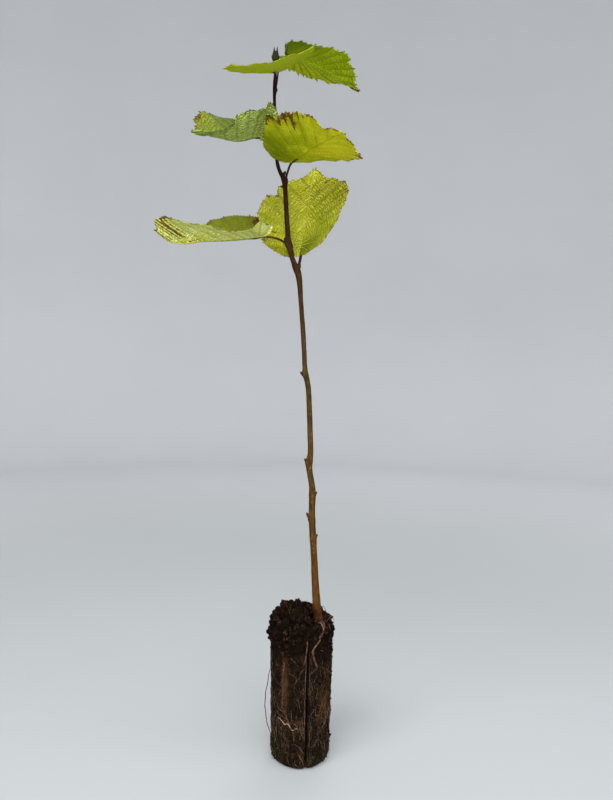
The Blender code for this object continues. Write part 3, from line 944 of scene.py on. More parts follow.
@dataclass(frozen=True)
class Leaf:
    """One leaf: its stalk, the pose of its blade, its folds and its stains.

    Each pair of numbers is for the left and the right half. The width is a share of the length, and the
    fullness and the droop power have no unit.
    """

    name: str
    finish: LeafFinish
    joint_height: float
    base: Triple
    heading: float
    rise: float
    roll: float
    length: float
    width: float
    droop: float
    droop_power: float
    bend: float
    twist: float
    fold: tuple[float, float]
    fold_gain: tuple[float, float]
    cup: tuple[float, float]
    wave: float
    wave_phase: float
    fullness: float
    pleat: float = 0.08
    ruffle: float = 0.8
    drip: float = 0.0
    nudges: tuple[Nudge, ...] = ()
    marks: tuple[Mark, ...] = ()
    stalk: StalkFinish = StalkFinish("stalk")
    vein_count: int = 10
    rows_per_vein: int = 40
    strips: int = 28
    ribs: int = 30
    thickness: float = 0.42
    tooth: float = 1.8
    teeth_per_vein: int = 4
    tooth_gain: tuple[float, float] = (1.0, 1.0)
    spread: Triple = (0.12, 0.86, 3.2)
    stalk_radius: float = 0.85
    stalk_climb: float = 1.4
    stalk_drop: float = 0.35
    stalk_sides: int = 14
    stalk_samples: int = 26
    stalk_rows: int = 44
    rib_sunk: float = 0.75
    edge_rows: int = 400
    plane_size: float = 100.0

    def shares(self) -> np.ndarray:
        """Spaces the rows of the blade, closer together at the side veins.

        Returns:
            Each row's share along the edge.
        """
        part = np.arange(self.rows_per_vein) / self.rows_per_vein
        part = part - 0.25 * np.sin(2 * np.pi * part) / (2 * np.pi)
        rows = (np.arange(self.vein_count)[:, None] + part).ravel() / self.vein_count
        return np.append(rows, 1.0)

    def edge(self, share: np.ndarray) -> np.ndarray:
        """Draws the half outline, for a length of 1.

        Args:
            share: shares along the edge, from the stalk to the tip.

        Returns:
            How far along the midrib and away from it each is.
        """
        full = self.fullness
        keys = [(-0.03, 0.02), (-0.10, 0.13), (0.05, 0.38), (0.33, 0.50), (0.62, 0.43 + 0.06 * full),
                (0.83, 0.23 + 0.10 * full), (0.93, 0.07 + 0.04 * full), (1.0, 0.015)]
        if self.drip:
            keys[-1:] = [(0.965, 0.016), (0.985, 0.009), (1.0 + self.drip, 0.005)]
        line = evenly(spline(keys, 16), self.edge_rows)
        line[:, 1] *= self.width
        at = np.linspace(0, 1, self.edge_rows)
        return np.stack([np.interp(share, at, column) for column in line.T], axis=1)

    def teeth(self, share: np.ndarray, half: Half) -> np.ndarray:
        """Works out the doubly toothed edge.

        Args:
            share: shares along the edge.
            half: the side of the midrib.

        Returns:
            How far the edge stands out at each, in millimetres.
        """
        place = share * self.vein_count
        fine = self.teeth_per_vein * place
        seeds = [noise.noise(Vector((round(p) * 0.73, half.value * 5.0, self.heading))) for p in fine]
        envelope = np.clip(4 * share * (1 - share) + 0.25, 0, 1)
        height = self.tooth * self.tooth_gain[half is Half.RIGHT]
        small = (0.8 + 0.6 * np.array(seeds)) * self.saw(fine)
        return envelope * height * (0.22 * self.saw(place) + small - 0.35)

    def saw(self, turns: np.ndarray) -> np.ndarray:
        """Returns teeth that rise slowly and drop quickly, with their points at whole turns."""
        part = turns % 1.0
        return np.maximum(1 - part / 0.18, np.clip((part - 0.18) / 0.82, 0, 1) ** 1.3)

    def frames(self) -> list[np.ndarray]:
        """Walks along the midrib as it droops, bends and twists.

        Returns:
            Its points, and at each its direction, its right side and its upper side.
        """
        heading, rise, roll = map(math.radians, (self.heading, self.rise, self.roll))
        level = np.array([math.cos(heading), math.sin(heading), 0.0])
        along = level * math.cos(rise) + np.array([0.0, 0.0, math.sin(rise)])
        right = turned(np.array([math.sin(heading), -math.cos(heading), 0.0]), along, roll)
        stations = [(np.array(self.base, float), along, right, np.cross(right, along))]
        droop, bend, twist = (math.radians(turn) for turn in (self.droop, self.bend, self.twist))
        for number in range(1, self.ribs + 1):
            share, before = number / self.ribs, (number - 1) / self.ribs
            along = turned(along, right, -droop * (share**self.droop_power - before**self.droop_power))
            upper = np.cross(right, along)
            along, right = (turned(side, upper, bend / self.ribs) for side in (along, right))
            right = turned(right, along, twist / self.ribs)
            point = stations[-1][0] + along * self.length / self.ribs
            stations.append((point, along, right, np.cross(right, along)))
        return [np.array(column) for column in zip(*stations)]

    def blade_points(self, along: np.ndarray, away: np.ndarray, half: Half) -> np.ndarray:
        """Places flat points of the blade in space.

        Args:
            along: shares of the length along the midrib.
            away: shares of the length away from it.
            half: the side of the midrib.

        Returns:
            The points, in millimetres.
        """
        inside = np.clip(along, 0, 1)
        at = np.arange(self.ribs + 1) / self.ribs
        point, forward, right, upper = (
            np.stack([np.interp(inside, at, column) for column in rib.T], axis=-1) for rib in self.frames())
        point = point + forward * np.minimum(along, 0.0)[..., None] * self.length
        side = half is Half.RIGHT
        fold = np.radians(self.fold[side] + self.fold_gain[side] * inside**2)
        curl = math.radians(self.cup[side] or 0.01) * 2
        lateral = self.length * (np.sin(fold + curl * away) - np.sin(fold)) / curl
        lift = -self.length * (np.cos(fold + curl * away) - np.cos(fold)) / curl
        phase = 3 * np.pi * along + self.wave_phase + (1.3 if side else 0.0)
        lift = lift + self.wave * np.sin(phase) * (2 * away) ** 2
        return point + right * (half.value * lateral)[..., None] + upper * lift[..., None]

    def half_sheet(self, half: Half) -> dict[str, np.ndarray]:
        """Works out one half of the blade.

        Args:
            half: the side of the midrib.

        Returns:
            Its points and what its finish reads, each an array of rows by strips.
        """
        share = self.shares()
        low, high, power = self.spread
        feet = low * share + high * share**power
        veins = self.edge(share) - np.stack([feet, np.zeros_like(feet)], axis=1)
        reach = np.linalg.norm(veins, axis=1)
        out = 1 + self.teeth(share, half) / self.length / np.maximum(reach, 0.02)
        away = (np.arange(self.strips + 1) / self.strips) ** 1.1
        away = away * (1 + 0.12 * (1 - away))
        stretch = 1 + (out - 1)[:, None] * away**6
        forward, sideways = (veins[:, k, None] * away * stretch for k in (0, 1))
        flat = np.stack([feet[:, None] + forward, sideways], axis=-1)
        points = self.blade_points(flat[..., 0], flat[..., 1], half)

        step = np.linalg.norm(np.diff(flat, axis=0), axis=2) * self.length
        run = np.vstack([np.zeros_like(step[:1]), np.cumsum(step, axis=0)])
        nearest = np.round(share * self.vein_count).astype(int) * self.rows_per_vein
        inner = np.clip(nearest, self.rows_per_vein // 2, None)
        from_vein = np.abs(run - run[np.clip(inner, 0, len(share) - 1)])
        before = (np.floor(share * self.vein_count - 1e-9).clip(0) * self.rows_per_vein).astype(int)
        after = np.minimum(before + self.rows_per_vein, len(share) - 1)
        gap = run[after] - run[before]
        along_row, along_strip = (np.gradient(points, axis=k) for k in (0, 1))
        upper = np.cross(along_row, along_strip) * half.value
        upper /= np.linalg.norm(upper, axis=2, keepdims=True) + 1e-9
        part = (share * self.vein_count % 1.0)[:, None]
        bulge = np.sin(np.pi * part) * smooth(0.0, 0.3, away) * (1 - 0.7 * away**5) * gap * self.pleat
        swing = share * self.vein_count * 1.9 + half.value * 2.0 + self.heading
        bulge = bulge + self.ruffle * (np.sin(swing) + 0.6 * np.sin(2.3 * swing))[:, None] * away**4
        for nudge in self.nudges:
            if nudge.half in (half, None):
                near = np.exp(-(((share - nudge.share) / nudge.reach) ** 2))
                fade = smooth(nudge.inner, 1, away) if nudge.half else np.ones_like(away)
                points = points + (near[:, None] * fade)[..., None] * np.array(nudge.pull)
        points = points + upper * bulge[..., None]
        # the marks lay scorch and yellow stains, and painted shade as deep green
        wear_and_shade = np.zeros((len(share), len(away), 3))
        for mark in self.marks:
            if mark.half is half:
                wide, deep = mark.size
                near = ((share - mark.share) / wide)[:, None] ** 2 + ((away - mark.away) / deep) ** 2
                stain = np.array([mark.scorch, mark.yellow, mark.deep])
                wear_and_shade = np.maximum(wear_and_shade, np.exp(-near)[..., None] * stain)
        rim = (1 - away) * (reach * self.length)[:, None]
        from_rib = flat[..., 1] * self.length
        lowest = feet[np.clip(before, 0, len(share) - 1)]
        ahead = (feet - lowest) * veins[:, 0] / np.maximum(reach, 0.02)
        rungs = (away * reach[:, None] + ahead[:, None]) * self.length
        number = (share * self.vein_count).astype(int) + 20 * (half is Half.LEFT)
        numbers = np.broadcast_to(number[:, None], rim.shape)
        return {"points": points, "wear_and_shade": wear_and_shade, "spine": np.broadcast_to(feet[:, None], rim.shape),
                "veins": np.stack([from_vein, from_rib, rim], axis=-1),
                "lattice": np.stack([rungs, numbers, np.zeros_like(rim)], axis=-1),
                "plane": flat * np.array([1, half.value]) * self.length / self.plane_size}

    def blade(self) -> bpy.types.Object:
        """Makes the blade: both halves on one grid, thickened, with its veins in relief.

        Returns:
            The blade.
        """
        rows = len(self.shares())
        Bench.clear()
        bpy.ops.mesh.primitive_grid_add(x_subdivisions=rows - 1, y_subdivisions=2 * self.strips, size=2)
        leaf = Bench.fresh(self.name + "_blade")
        raw = Bench.places(leaf)
        row = np.round((raw[:, 0] + 1) / 2 * (rows - 1)).astype(int)
        strip = np.round(-raw[:, 1] * self.strips).astype(int)
        left, right = (self.half_sheet(half) for half in Half)
        pick = {}
        for key in left:
            both = left[key][row, np.abs(strip)], right[key][row, np.abs(strip)]
            pick[key] = np.where((strip >= 0).reshape(-1, *[1] * (both[0].ndim - 1)), both[1], both[0])
        Bench.move_to(leaf, pick["points"] * MM)
        corner = np.empty(len(leaf.data.loops), np.int32)
        leaf.data.loops.foreach_get("vertex_index", corner)
        for layer in list(leaf.data.uv_layers):
            leaf.data.uv_layers.remove(layer)
        plane = leaf.data.uv_layers.new(name="plane")
        plane.data.foreach_set("uv", pick["plane"][corner].astype(np.float32).ravel())
        for key in ("veins", "lattice", "wear_and_shade", "spine"):
            Bench.mark(leaf, key, pick[key])
        count = len(raw)
        if np.dot(Bench.normals(leaf)[count // 2], self.frames()[3][(self.ribs + 1) // 2]) < 0:
            leaf.data.flip_normals()
        Bench.apply(leaf, "SOLIDIFY", thickness=self.thickness * MM, offset=0.0, use_quality_normals=True)
        return self.relief(leaf, count)

    def relief(self, leaf: bpy.types.Object, count: int) -> bpy.types.Object:
        """Raises the veins.

        Args:
            leaf: the thickened blade.
            count: how many vertices each of its two faces has.

        Returns:
            The blade.
        """
        points, out = Bench.places(leaf), Bench.normals(leaf)
        stored = leaf.data.attributes
        from_vein, from_rib, rim = Bench.read(stored["veins"].data, "vector").T
        lattice = Bench.read(stored["lattice"].data, "vector")
        taper = 1 - 0.75 * np.clip(Bench.read(stored["spine"].data, "value", 1)[:, 0], 0, 1)
        inward = smooth(0.0, 2.0, rim)
        side = np.exp(-((from_vein / 0.34) ** 2)) * (0.35 + 0.65 * inward)
        rib = np.exp(-((from_rib / (0.25 + 0.6 * taper)) ** 2)) * taper
        above = np.arange(len(points)) < count
        lift = np.where(above, -0.10 * side - 0.16 * rib, 0.22 * side + 0.85 * rib) * inward
        Bench.move_to(leaf, points + out * lift[:, None] * MM)
        lattice[:, 2] = ~above
        Bench.mark(leaf, "lattice", lattice)
        stored.remove(stored["spine"])
        return leaf

    def build(self, stem: Stem) -> None:
        """Makes the leaf and its stalk.

        Args:
            stem: the stem that it grows from.
        """
        Bench.publish(self.blade(), Slot.LEAVES, self.finish.make(), [self.name])
        joint, radius = stem.at(self.joint_height)
        point, forward, _, upper = self.frames()
        base = point[0] - upper[0] * self.stalk_drop
        out = np.array([base[0] - joint[0], base[1] - joint[1], 0.0])
        out /= np.linalg.norm(out)
        start = joint + out * radius * 0.55
        span = np.linalg.norm(base - start)
        leave = out + np.array([0.0, 0.0, self.stalk_climb])
        leave *= 0.8 * span / np.linalg.norm(leave)
        t = np.linspace(0, 1, self.stalk_samples)[:, None]
        route = (start * (2 * t**3 - 3 * t**2 + 1) + leave * (t**3 - 2 * t**2 + t)
                 + base * (3 * t**2 - 2 * t**3) + forward[0] * span * (t**3 - t**2))
        drops = self.stalk_drop + (self.rib_sunk - self.stalk_drop) * np.arange(5) / 4
        under = [point[k] - upper[k] * drops[k] for k in range(1, 5)]
        route = evenly(np.vstack([route, under]), self.stalk_rows)
        place = np.linspace(0, 1, len(route))
        foot, collar = np.exp(-((place / 0.07) ** 2)), np.exp(-(((place - 0.8) / 0.1) ** 2))
        radii = self.stalk_radius * (1 + 0.75 * foot + 0.12 * collar)
        radii *= 1 - 0.72 * smooth(0.82, 1.0, place)
        limbs = Limbs(self.stalk_sides)
        limbs.add(route, radii, place)
        Bench.publish(limbs.build(self.name + "_stalk"), Slot.LEAVES, self.stalk.make())


@dataclass(frozen=True)
class Bud:
    """A bud: an egg with overlapping scales, leaning out from the stem."""

    name: str
    height: float
    bearing: float
    lean: float
    length: float
    width: float
    finish: BudFinish
    scales: int = 6
    open_tip: float = 0.0
    skin: float = 0.05
    grid: int = 14

    def egg(self, share: np.ndarray, turn: np.ndarray, lift: np.ndarray) -> np.ndarray:
        """Places points on the egg.

        Args:
            share: shares of its height.
            turn: turns about its axis, in radians.
            lift: how far they are pushed out.

        Returns:
            The points, in millimetres.
        """
        climb = np.sin(np.pi * np.clip(share, 0, 1) ** 0.85) ** 0.8 * (1.12 - 0.45 * share)
        radius = climb * self.width / 2 + lift
        return round_axis(turn, radius, share * self.length)

    def core(self) -> bpy.types.Object:
        """Makes the bud's closed middle.

        Returns:
            The mesh, upright at the origin.
        """
        Bench.clear()
        bpy.ops.mesh.primitive_uv_sphere_add(segments=24, ring_count=16, radius=1)
        core = Bench.fresh("core")
        raw = Bench.places(core)
        share = (raw[:, 2] + 1) / 2
        tall = 0.84 if self.open_tip else 0.93
        points = self.egg(share * tall, np.arctan2(raw[:, 1], raw[:, 0]), np.zeros(len(raw)))
        points[:, :2] *= 0.96
        Bench.move_to(core, points * MM)
        return self.aged(core, share * 0.3)

    def scale(self, number: int) -> bpy.types.Object:
        """Makes one scale. Those of an open bud stand in opposite pairs, and the others on a spiral.

        Args:
            number: its place, counted from the foot.

        Returns:
            The mesh, upright at the origin.
        """
        Bench.clear()
        bpy.ops.mesh.primitive_grid_add(x_subdivisions=self.grid, y_subdivisions=self.grid, size=2)
        scale = Bench.fresh("scale")
        raw = Bench.places(scale)
        rank, spin, reach, blunt = number / max(self.scales - 1, 1), number * GOLDEN_TURN, 1, 2.2
        if self.open_tip:
            rank, reach, blunt = number // 2 / (self.scales // 2 - 1), 3, 5.0
            spin = math.pi * number + math.pi / 2 * (number // 2)
        low, high = 0.02 + 0.30 * rank, 0.50 + 0.50 * rank**reach
        up = (raw[:, 1] + 1) / 2
        pointed = np.sqrt(np.clip(1 - up**blunt, 0, 1)) * (0.75 + 0.25 * up)
        share = low + (high - low) * up
        turn = spin + raw[:, 0] * pointed * 1.25
        lift = self.skin * self.width * (1 - rank * 0.4) + self.open_tip * up**3 * (0.4 + 0.6 * rank)
        points = self.egg(np.minimum(share, 0.97), turn, lift * (1 - 0.3 * np.abs(raw[:, 0])))
        points[:, 2] += np.maximum(share - 0.97, 0) * self.length + self.open_tip * rank * up**3
        Bench.move_to(scale, points * MM)
        Bench.apply(scale, "SOLIDIFY", thickness=self.skin * self.width * MM, offset=-1.0)
        return self.aged(scale, share)

    def aged(self, shell: bpy.types.Object, share: np.ndarray) -> bpy.types.Object:
        """Stores how close to the tip each vertex is, for the finish to read.

        Args:
            shell: the core or a scale.
            share: the share of one of its faces, or of all of it.

        Returns:
            The same mesh.
        """
        full = np.concatenate([share, share])[:len(shell.data.vertices)]
        Bench.mark(shell, "scale", np.stack([full, full * 0, full * 0], axis=1))
        return shell

    def build(self, stem: Stem) -> None:
        """Makes the bud.

        Args:
            stem: the stem that it sits on.
        """
        shells = [self.core()] + [self.scale(number) for number in range(self.scales)]
        Bench.clear()
        for shell in shells:
            shell.select_set(True)
        bpy.context.view_layer.objects.active = shells[0]
        bpy.ops.object.join()
        bud = Bench.fresh(self.name + "_scales")
        joint, radius = stem.at(self.height)
        turn, lean = math.radians(self.bearing), math.radians(self.lean)
        out = Vector((math.cos(turn), math.sin(turn), 0.0))
        axis = out * math.sin(lean) + UP * math.cos(lean)
        foot = Vector(joint) + out * (radius * 0.45 + self.width * 0.25 * math.sin(lean)) * bool(self.lean)
        rotation = UP.rotation_difference(axis).to_matrix()
        Bench.move_to(bud, Bench.places(bud) @ np.array(rotation).T + np.array(foot * MM))
        Bench.publish(bud, Slot.BUDS, self.finish.make(), [self.name])


@dataclass(frozen=True)
class Strand:
    """A root on the ball's side: (bearing, height, stand-off) stations from one end to the other."""

    thickness: float
    stations: tuple[Triple, ...]
    shade: float = 0.5


@dataclass(frozen=True)
class FreeRoot:
    """A root of the crown: the points that it runs through, and its lift where it lies on the peat."""

    thickness: float
    points: tuple[Triple, ...]
    shade: float = 0.5
    lift: float | None = None


@dataclass(frozen=True)
class WarmPatch:
    """A rust-coloured stain on the ball's side."""

    bearing: float
    height: float
    wide: float
    tall: float


@dataclass(frozen=True)
class RootBall:
    """The root ball: a tapered plug, slotted by its growing cell, with a crumbly domed top."""

    strands: tuple[Strand, ...]
    crown: tuple[FreeRoot, ...]
    patches: tuple[WarmPatch, ...]
    height: float = 101.5
    top_radius: float = 24.2
    foot_radius: float = 22.6
    dome_rise: float = 13.5
    dome_edge: float = 0.34
    foot_rounding: float = 4.5
    lump_side: float = 0.7
    lump_top: float = 2.2
    lump_grain: float = 9.0
    mound_bearing: float = 125.0
    mound_share: float = 0.22
    hollow_share: float = 0.75
    hollow_radius: float = 11.5
    hollow_across: float = 12.4
    slot_count: int = 4
    slot_bearing: float = -78.0
    slot_depth: float = 2.6
    slot_width: float = 0.95
    slot_ends: tuple[float, float] = (3.0, 96.0)
    segments: int = 324
    rings: int = 250
    hair_count: int = 1900
    hair_steps: tuple[int, int] = (8, 19)
    hair_step: float = 1.35
    hair_off_slot: float = 2.9
    hair_sides: int = 3
    whisker_count: int = 700
    root_sides: int = 8
    crumb_count: int = 1500
    # crumb tones: dark, middling, and pale crumbs that are painted glints of the moist peat
    crumb_tones_and_glints: Triple = (0.1, 0.3, 1.6)
    crumb_fine: float = 0.8
    clear_of_stem: float = 5.5
    clod: float = 5.0
    bit: float = 2.0
    core_depth: float = 18.0
    cast_from: float = 14.0
    cast_reach: float = 30.0
    seed: int = 11

    def plain_radius(self, height: np.ndarray) -> np.ndarray:
        """Returns the plug's radius at a height, before its lumps and slots."""
        share = np.clip(height / self.height, 0, 1)
        return self.foot_radius + (self.top_radius - self.foot_radius) * share

    def off_slot(self, bearing: np.ndarray | float) -> np.ndarray | float:
        """Returns how far a bearing is from the nearest slot's."""
        spacing = 360.0 / self.slot_count
        return (bearing - self.slot_bearing + spacing / 2) % spacing - spacing / 2

    def slot(self, bearing: np.ndarray, height: np.ndarray) -> np.ndarray:
        """Works out the growing cell's slots.

        Args:
            bearing: bearings on the side, in degrees.
            height: heights on the side.

        Returns:
            How deep the nearest slot is at each place, from 0 to 1.
        """
        low, high = self.slot_ends
        across = np.radians(self.off_slot(bearing)) * self.plain_radius(height)
        across = across + 0.25 * np.sin(height * 0.21)
        ends = np.clip((height - low) / 4, 0, 1) * np.clip((high - height) / 4, 0, 1)
        return ends * np.exp(-((across / self.slot_width) ** 2))

    def side(self, bearing: np.ndarray, height: np.ndarray, stand_off: float = 0.0) -> np.ndarray:
        """Places points on the plug's side.

        Args:
            bearing: their bearings, in degrees.
            height: their heights.
            stand_off: how far they are pushed out.

        Returns:
            The points, in millimetres.
        """
        turn = np.radians(bearing)
        plain = self.plain_radius(height)
        near_top = np.clip((height - 0.8 * self.height) / (0.2 * self.height), 0, 1)
        size = self.lump_side + (self.lump_top - self.lump_side) * near_top * 0.7
        radius = plain + size * grain(round_axis(turn, plain, height), self.lump_grain) + stand_off
        return round_axis(turn, radius - self.slot_depth * self.slot(bearing, height), height)

    def top(self, bearing: np.ndarray, share: np.ndarray) -> np.ndarray:
        """Places points on the domed top, with its mound and the hollow round the stem.

        Args:
            bearing: their bearings, in degrees.
            share: how far from the rim to the middle they are.

        Returns:
            The points, in millimetres.
        """
        rim = self.side(bearing, np.full_like(bearing, self.height))
        x, y = rim[:, 0] * (1 - share), rim[:, 1] * (1 - share)
        inward = 1 - np.minimum(np.hypot(x, y) / self.top_radius, 1)
        turn = math.radians(self.mound_bearing)
        heap = 1 + self.mound_share * (x * math.cos(turn) + y * math.sin(turn)) / self.top_radius
        from_hollow = np.hypot(x - self.hollow_across, y) / self.hollow_radius
        hollow = 1 - self.hollow_share * np.exp(-(from_hollow**2))
        rise = self.dome_rise * (1 - (1 - inward) ** 2) ** self.dome_edge * heap * hollow
        bumps = self.lump_top * grain(np.stack([x, y, np.zeros_like(x)], axis=-1), self.lump_grain)
        return np.stack([x, y, self.height + rise + bumps * np.minimum(1, 3 * share)], axis=-1)

    def body(self) -> bpy.types.Object:
        """Makes the plug itself, with the clods and creases of peat.

        Returns:
            The plug.
        """
        Bench.clear()
        bpy.ops.mesh.primitive_uv_sphere_add(segments=self.segments, ring_count=self.rings, radius=1)
        ball = Bench.fresh("root_ball_peat")
        raw = Bench.places(ball)
        ring = 1 - np.arccos(np.clip(raw[:, 2], -1, 1)) / np.pi
        bearing = np.degrees(np.arctan2(raw[:, 1], raw[:, 0]))
        lip = self.foot_rounding
        walls = [self.foot_radius - lip, lip * 1.5, self.height - lip, self.top_radius * 1.25]
        cuts = np.concatenate([[0], np.cumsum(walls)]) / sum(walls)
        part = [np.clip((ring - low) / (high - low), 0, 1) for low, high in zip(cuts, cuts[1:])]
        points = self.side(bearing, lip + part[2] * (self.height - lip))
        wide = np.hypot(*self.side(bearing, np.full_like(bearing, lip))[:, :2].T)
        bent = part[1] * math.pi / 2
        under = ring < cuts[1]
        inner = np.where(under, (wide - lip) * part[0], wide - lip + lip * np.sin(bent))
        low = np.where(under, 0.0, lip - lip * np.cos(bent))
        base = round_axis(np.radians(bearing), inner, low)
        points = np.where((ring < cuts[2])[:, None], base, points)
        crown = ring > cuts[3]
        points[crown] = self.top(bearing[crown], part[3][crown])
        Bench.move_to(ball, points * MM)
        out = Bench.normals(ball)
        free = smooth(0.2, 3.0, points[:, 2])
        near_top = smooth(self.height - 12, self.height + 1, points[:, 2])
        clods, cracks = self.clods(points, self.clod)
        bits, _ = self.clods(points, self.bit)
        rough = clods * (0.4 + 2.4 * near_top) + bits * (0.4 + 0.8 * near_top)
        rough = rough + 0.3 * grain(points, 1.1, 2, 5.0)
        rough -= 0.5 + 1.4 * near_top
        slot = self.slot(bearing, points[:, 2]) * ~crown
        Bench.move_to(ball, (points + out * (rough * free * (1 - 0.9 * slot))[:, None]) * MM)
        warm = np.zeros(len(points))
        for patch in self.patches:
            off = np.radians((bearing - patch.bearing + 180) % 360 - 180) * self.top_radius
            warm += np.exp(-((off / patch.wide) ** 2) - ((points[:, 2] - patch.height) / patch.tall) ** 2)
        rooty = smooth(self.height + 2, self.height * 0.55, points[:, 2])
        # the slots and the cracks between clods get painted shade, partly wet peat
        slot_and_crack_shade = np.maximum(slot * 0.95, cracks * (0.4 + 0.5 * near_top))
        Bench.mark(ball, "soil", np.stack([slot_and_crack_shade, 0.12 + 0.88 * rooty, warm], axis=1))
        return ball

    @staticmethod
    def clods(points: np.ndarray, size: float) -> tuple[np.ndarray, np.ndarray]:
        """Works out rounded clods.

        Args:
            points: places, in millimetres.
            size: how wide a clod is.

        Returns:
            How far each place stands out, and how deep it is in a crack, both from 0 to 1.
        """
        warp = np.stack([grain(points, size * 0.8, 2, k) for k in (1.0, 4.0, 7.0)], axis=1)
        warped = points + 0.35 * size * warp
        gaps = np.array([noise.voronoi(Vector(p) / size)[0][:2] for p in warped.tolist()])
        swell = np.clip((gaps[:, 1] - gaps[:, 0]) * 2.2, 0, 1) ** 0.6
        return swell, smooth(0.35, 0.0, swell)

    def laid(self, skin: BVHTree, route: np.ndarray, lift: np.ndarray | float,
             rounds: int = 1) -> np.ndarray:
        """Lays a route on the rough peat.

        Args:
            skin: the surface of the peat.
            route: the route, near the surface.
            lift: how far it stands off, for the route or for each point.
            rounds: how often it is smoothed.

        Returns:
            The route on the surface.
        """
        core = np.zeros_like(route)
        core[:, 2] = np.minimum(route[:, 2], self.height - self.core_depth)
        out = route - core
        out /= np.linalg.norm(out, axis=1, keepdims=True)
        lifts = np.broadcast_to(lift, len(route))
        laid = []
        for point, away, rise in zip(route, out, lifts):
            hit = skin.ray_cast(Vector(point + self.cast_from * away), Vector(-away), self.cast_reach)[0]
            laid.append(point if hit is None else np.array(hit) + away * rise)
        laid = np.array(laid)
        for _ in range(rounds):
            laid[1:-1] = (laid[:-2] + 2 * laid[1:-1] + laid[2:]) / 4
        return laid

    def hairs(self, skin: BVHTree) -> bpy.types.Object:
        """Makes the fine root mat that clings to the side, thicker low down and along the slots.

        Args:
            skin: the surface of the peat.

        Returns:
            The piece.
        """
        rng = np.random.default_rng(self.seed)
        limbs = Limbs(self.hair_sides)
        for number in range(self.hair_count):
            steps = rng.integers(*self.hair_steps)
            along_slot = number % 5 == 0
            bearing = rng.uniform(0, 360)
            if along_slot:
                bearing = self.slot_bearing + 360 / self.slot_count * rng.integers(0, self.slot_count)
                bearing += rng.choice([-1, 1]) * rng.uniform(3.5, 10)
            height = self.height * rng.beta(1.25, 1.9)
            slant = rng.normal(0, 0.2 if along_slot else 0.7)
            fall = -1 if rng.random() < 0.7 else 1
            path = []
            for _ in range(steps):
                if abs(self.off_slot(bearing)) < self.hair_off_slot:
                    break
                slant = 0.85 * slant + rng.normal(0, 0.12 if along_slot else 0.42)
                path.append((bearing, height))
                bearing += math.degrees(self.hair_step * math.sin(slant) / self.foot_radius)
                height += fall * self.hair_step * math.cos(slant)
            path = np.array([p for p in path if 0.8 < p[1] < self.height - 1])
            if len(path) < 5:
                continue
            thick = rng.uniform(0.06, 0.11) if number % 9 else rng.uniform(0.11, 0.2)
            swing = np.sin(np.linspace(0, rng.uniform(3, 10), len(path)) + rng.uniform(0, 6))
            route = self.laid(skin, self.side(path[:, 0], path[:, 1]), thick + 0.1 + 0.22 * swing)
            radii = thick * np.clip(np.sin(np.linspace(0.3, math.pi - 0.15, len(path))), 0.3, 1)
            limbs.add(route, radii, rng.uniform(0.0, 1.0) ** 3.2)
        return limbs.build("root_ball_mat")

    def whiskers(self) -> bpy.types.Object:
        """Makes the short fibres that stand out from the side and the top.

        Returns:
            The piece.
        """
        rng = np.random.default_rng(self.seed + 2)
        limbs = Limbs(self.hair_sides)
        for number in range(self.whisker_count):
            bearing = rng.uniform(0, 360, 1)
            if number % 2:
                start = self.side(bearing, self.height * rng.uniform(0.01, 1.0, 1))[0]
                out = np.array([start[0], start[1], 0.0]) / np.hypot(*start[:2])
                lean = np.array([0.0, 0.0, rng.normal(-0.2, 0.9)])
                reach = rng.uniform(0.8, 2.3)
            else:
                start = self.top(bearing, rng.uniform(0.0, 0.95, 1))[0]
                out, lean = np.array([start[0] / 40, start[1] / 40, 1.0]), rng.normal(0, 0.5, 3)
                reach = rng.uniform(1.2, 3.4)
                if math.hypot(start[0] - self.hollow_across, start[1]) < 5.0:
                    continue
            push = out + lean
            push /= np.linalg.norm(push)
            curl = rng.normal(0, 0.5, 3)
            t = np.linspace(0, 1, 6)[:, None]
            route = start - out * 0.6 + push * t * reach + curl * t**2 * reach * 0.6
            limbs.add(route, rng.uniform(0.08, 0.17) * (1 - 0.6 * t[:, 0]), rng.uniform(0, 0.9) ** 2)
        return limbs.build("root_ball_whiskers")

    def thick_routes(self, skin: BVHTree) -> list[tuple[np.ndarray, np.ndarray, float]]:
        """Works out the thicker roots: those on the side, those along the slots and those of the crown.

        Args:
            skin: the surface of the peat.

        Returns:
            The route, the radii and the shade of each.
        """
        rng = np.random.default_rng(self.seed + 3)
        found = []
        for strand in self.strands + tuple(self.slot_roots(rng)):
            line = spline(np.array(strand.stations, float), 8)
            route = self.laid(skin, self.side(line[:, 0], line[:, 1]), line[:, 2], 3)
            route += 0.2 * np.stack([grain(route, 4.0, 2, k) for k in (1.0, 5.0, 9.0)], axis=1)
            taper = np.sin(np.linspace(0.35, math.pi - 0.3, len(route))) ** 0.5
            uneven = 1 + 0.2 * grain(route, 2.0, 2)
            found.append((route, strand.thickness / 2 * taper * uneven, strand.shade))
        for root in self.crown:
            route = spline(np.array(root.points, float), 8)
            if root.lift is not None:
                route = self.laid(skin, route, root.lift, 4)
            route += 0.15 * np.stack([grain(route, 3.0, 2, k) for k in (2.0, 6.0, 8.0)], axis=1)
            taper = 1 - 0.5 * np.linspace(0, 1, len(route)) ** 2
            uneven = 1 + 0.2 * grain(route, 1.5, 2)
            found.append((route, root.thickness / 2 * taper * uneven, root.shade))
        return found

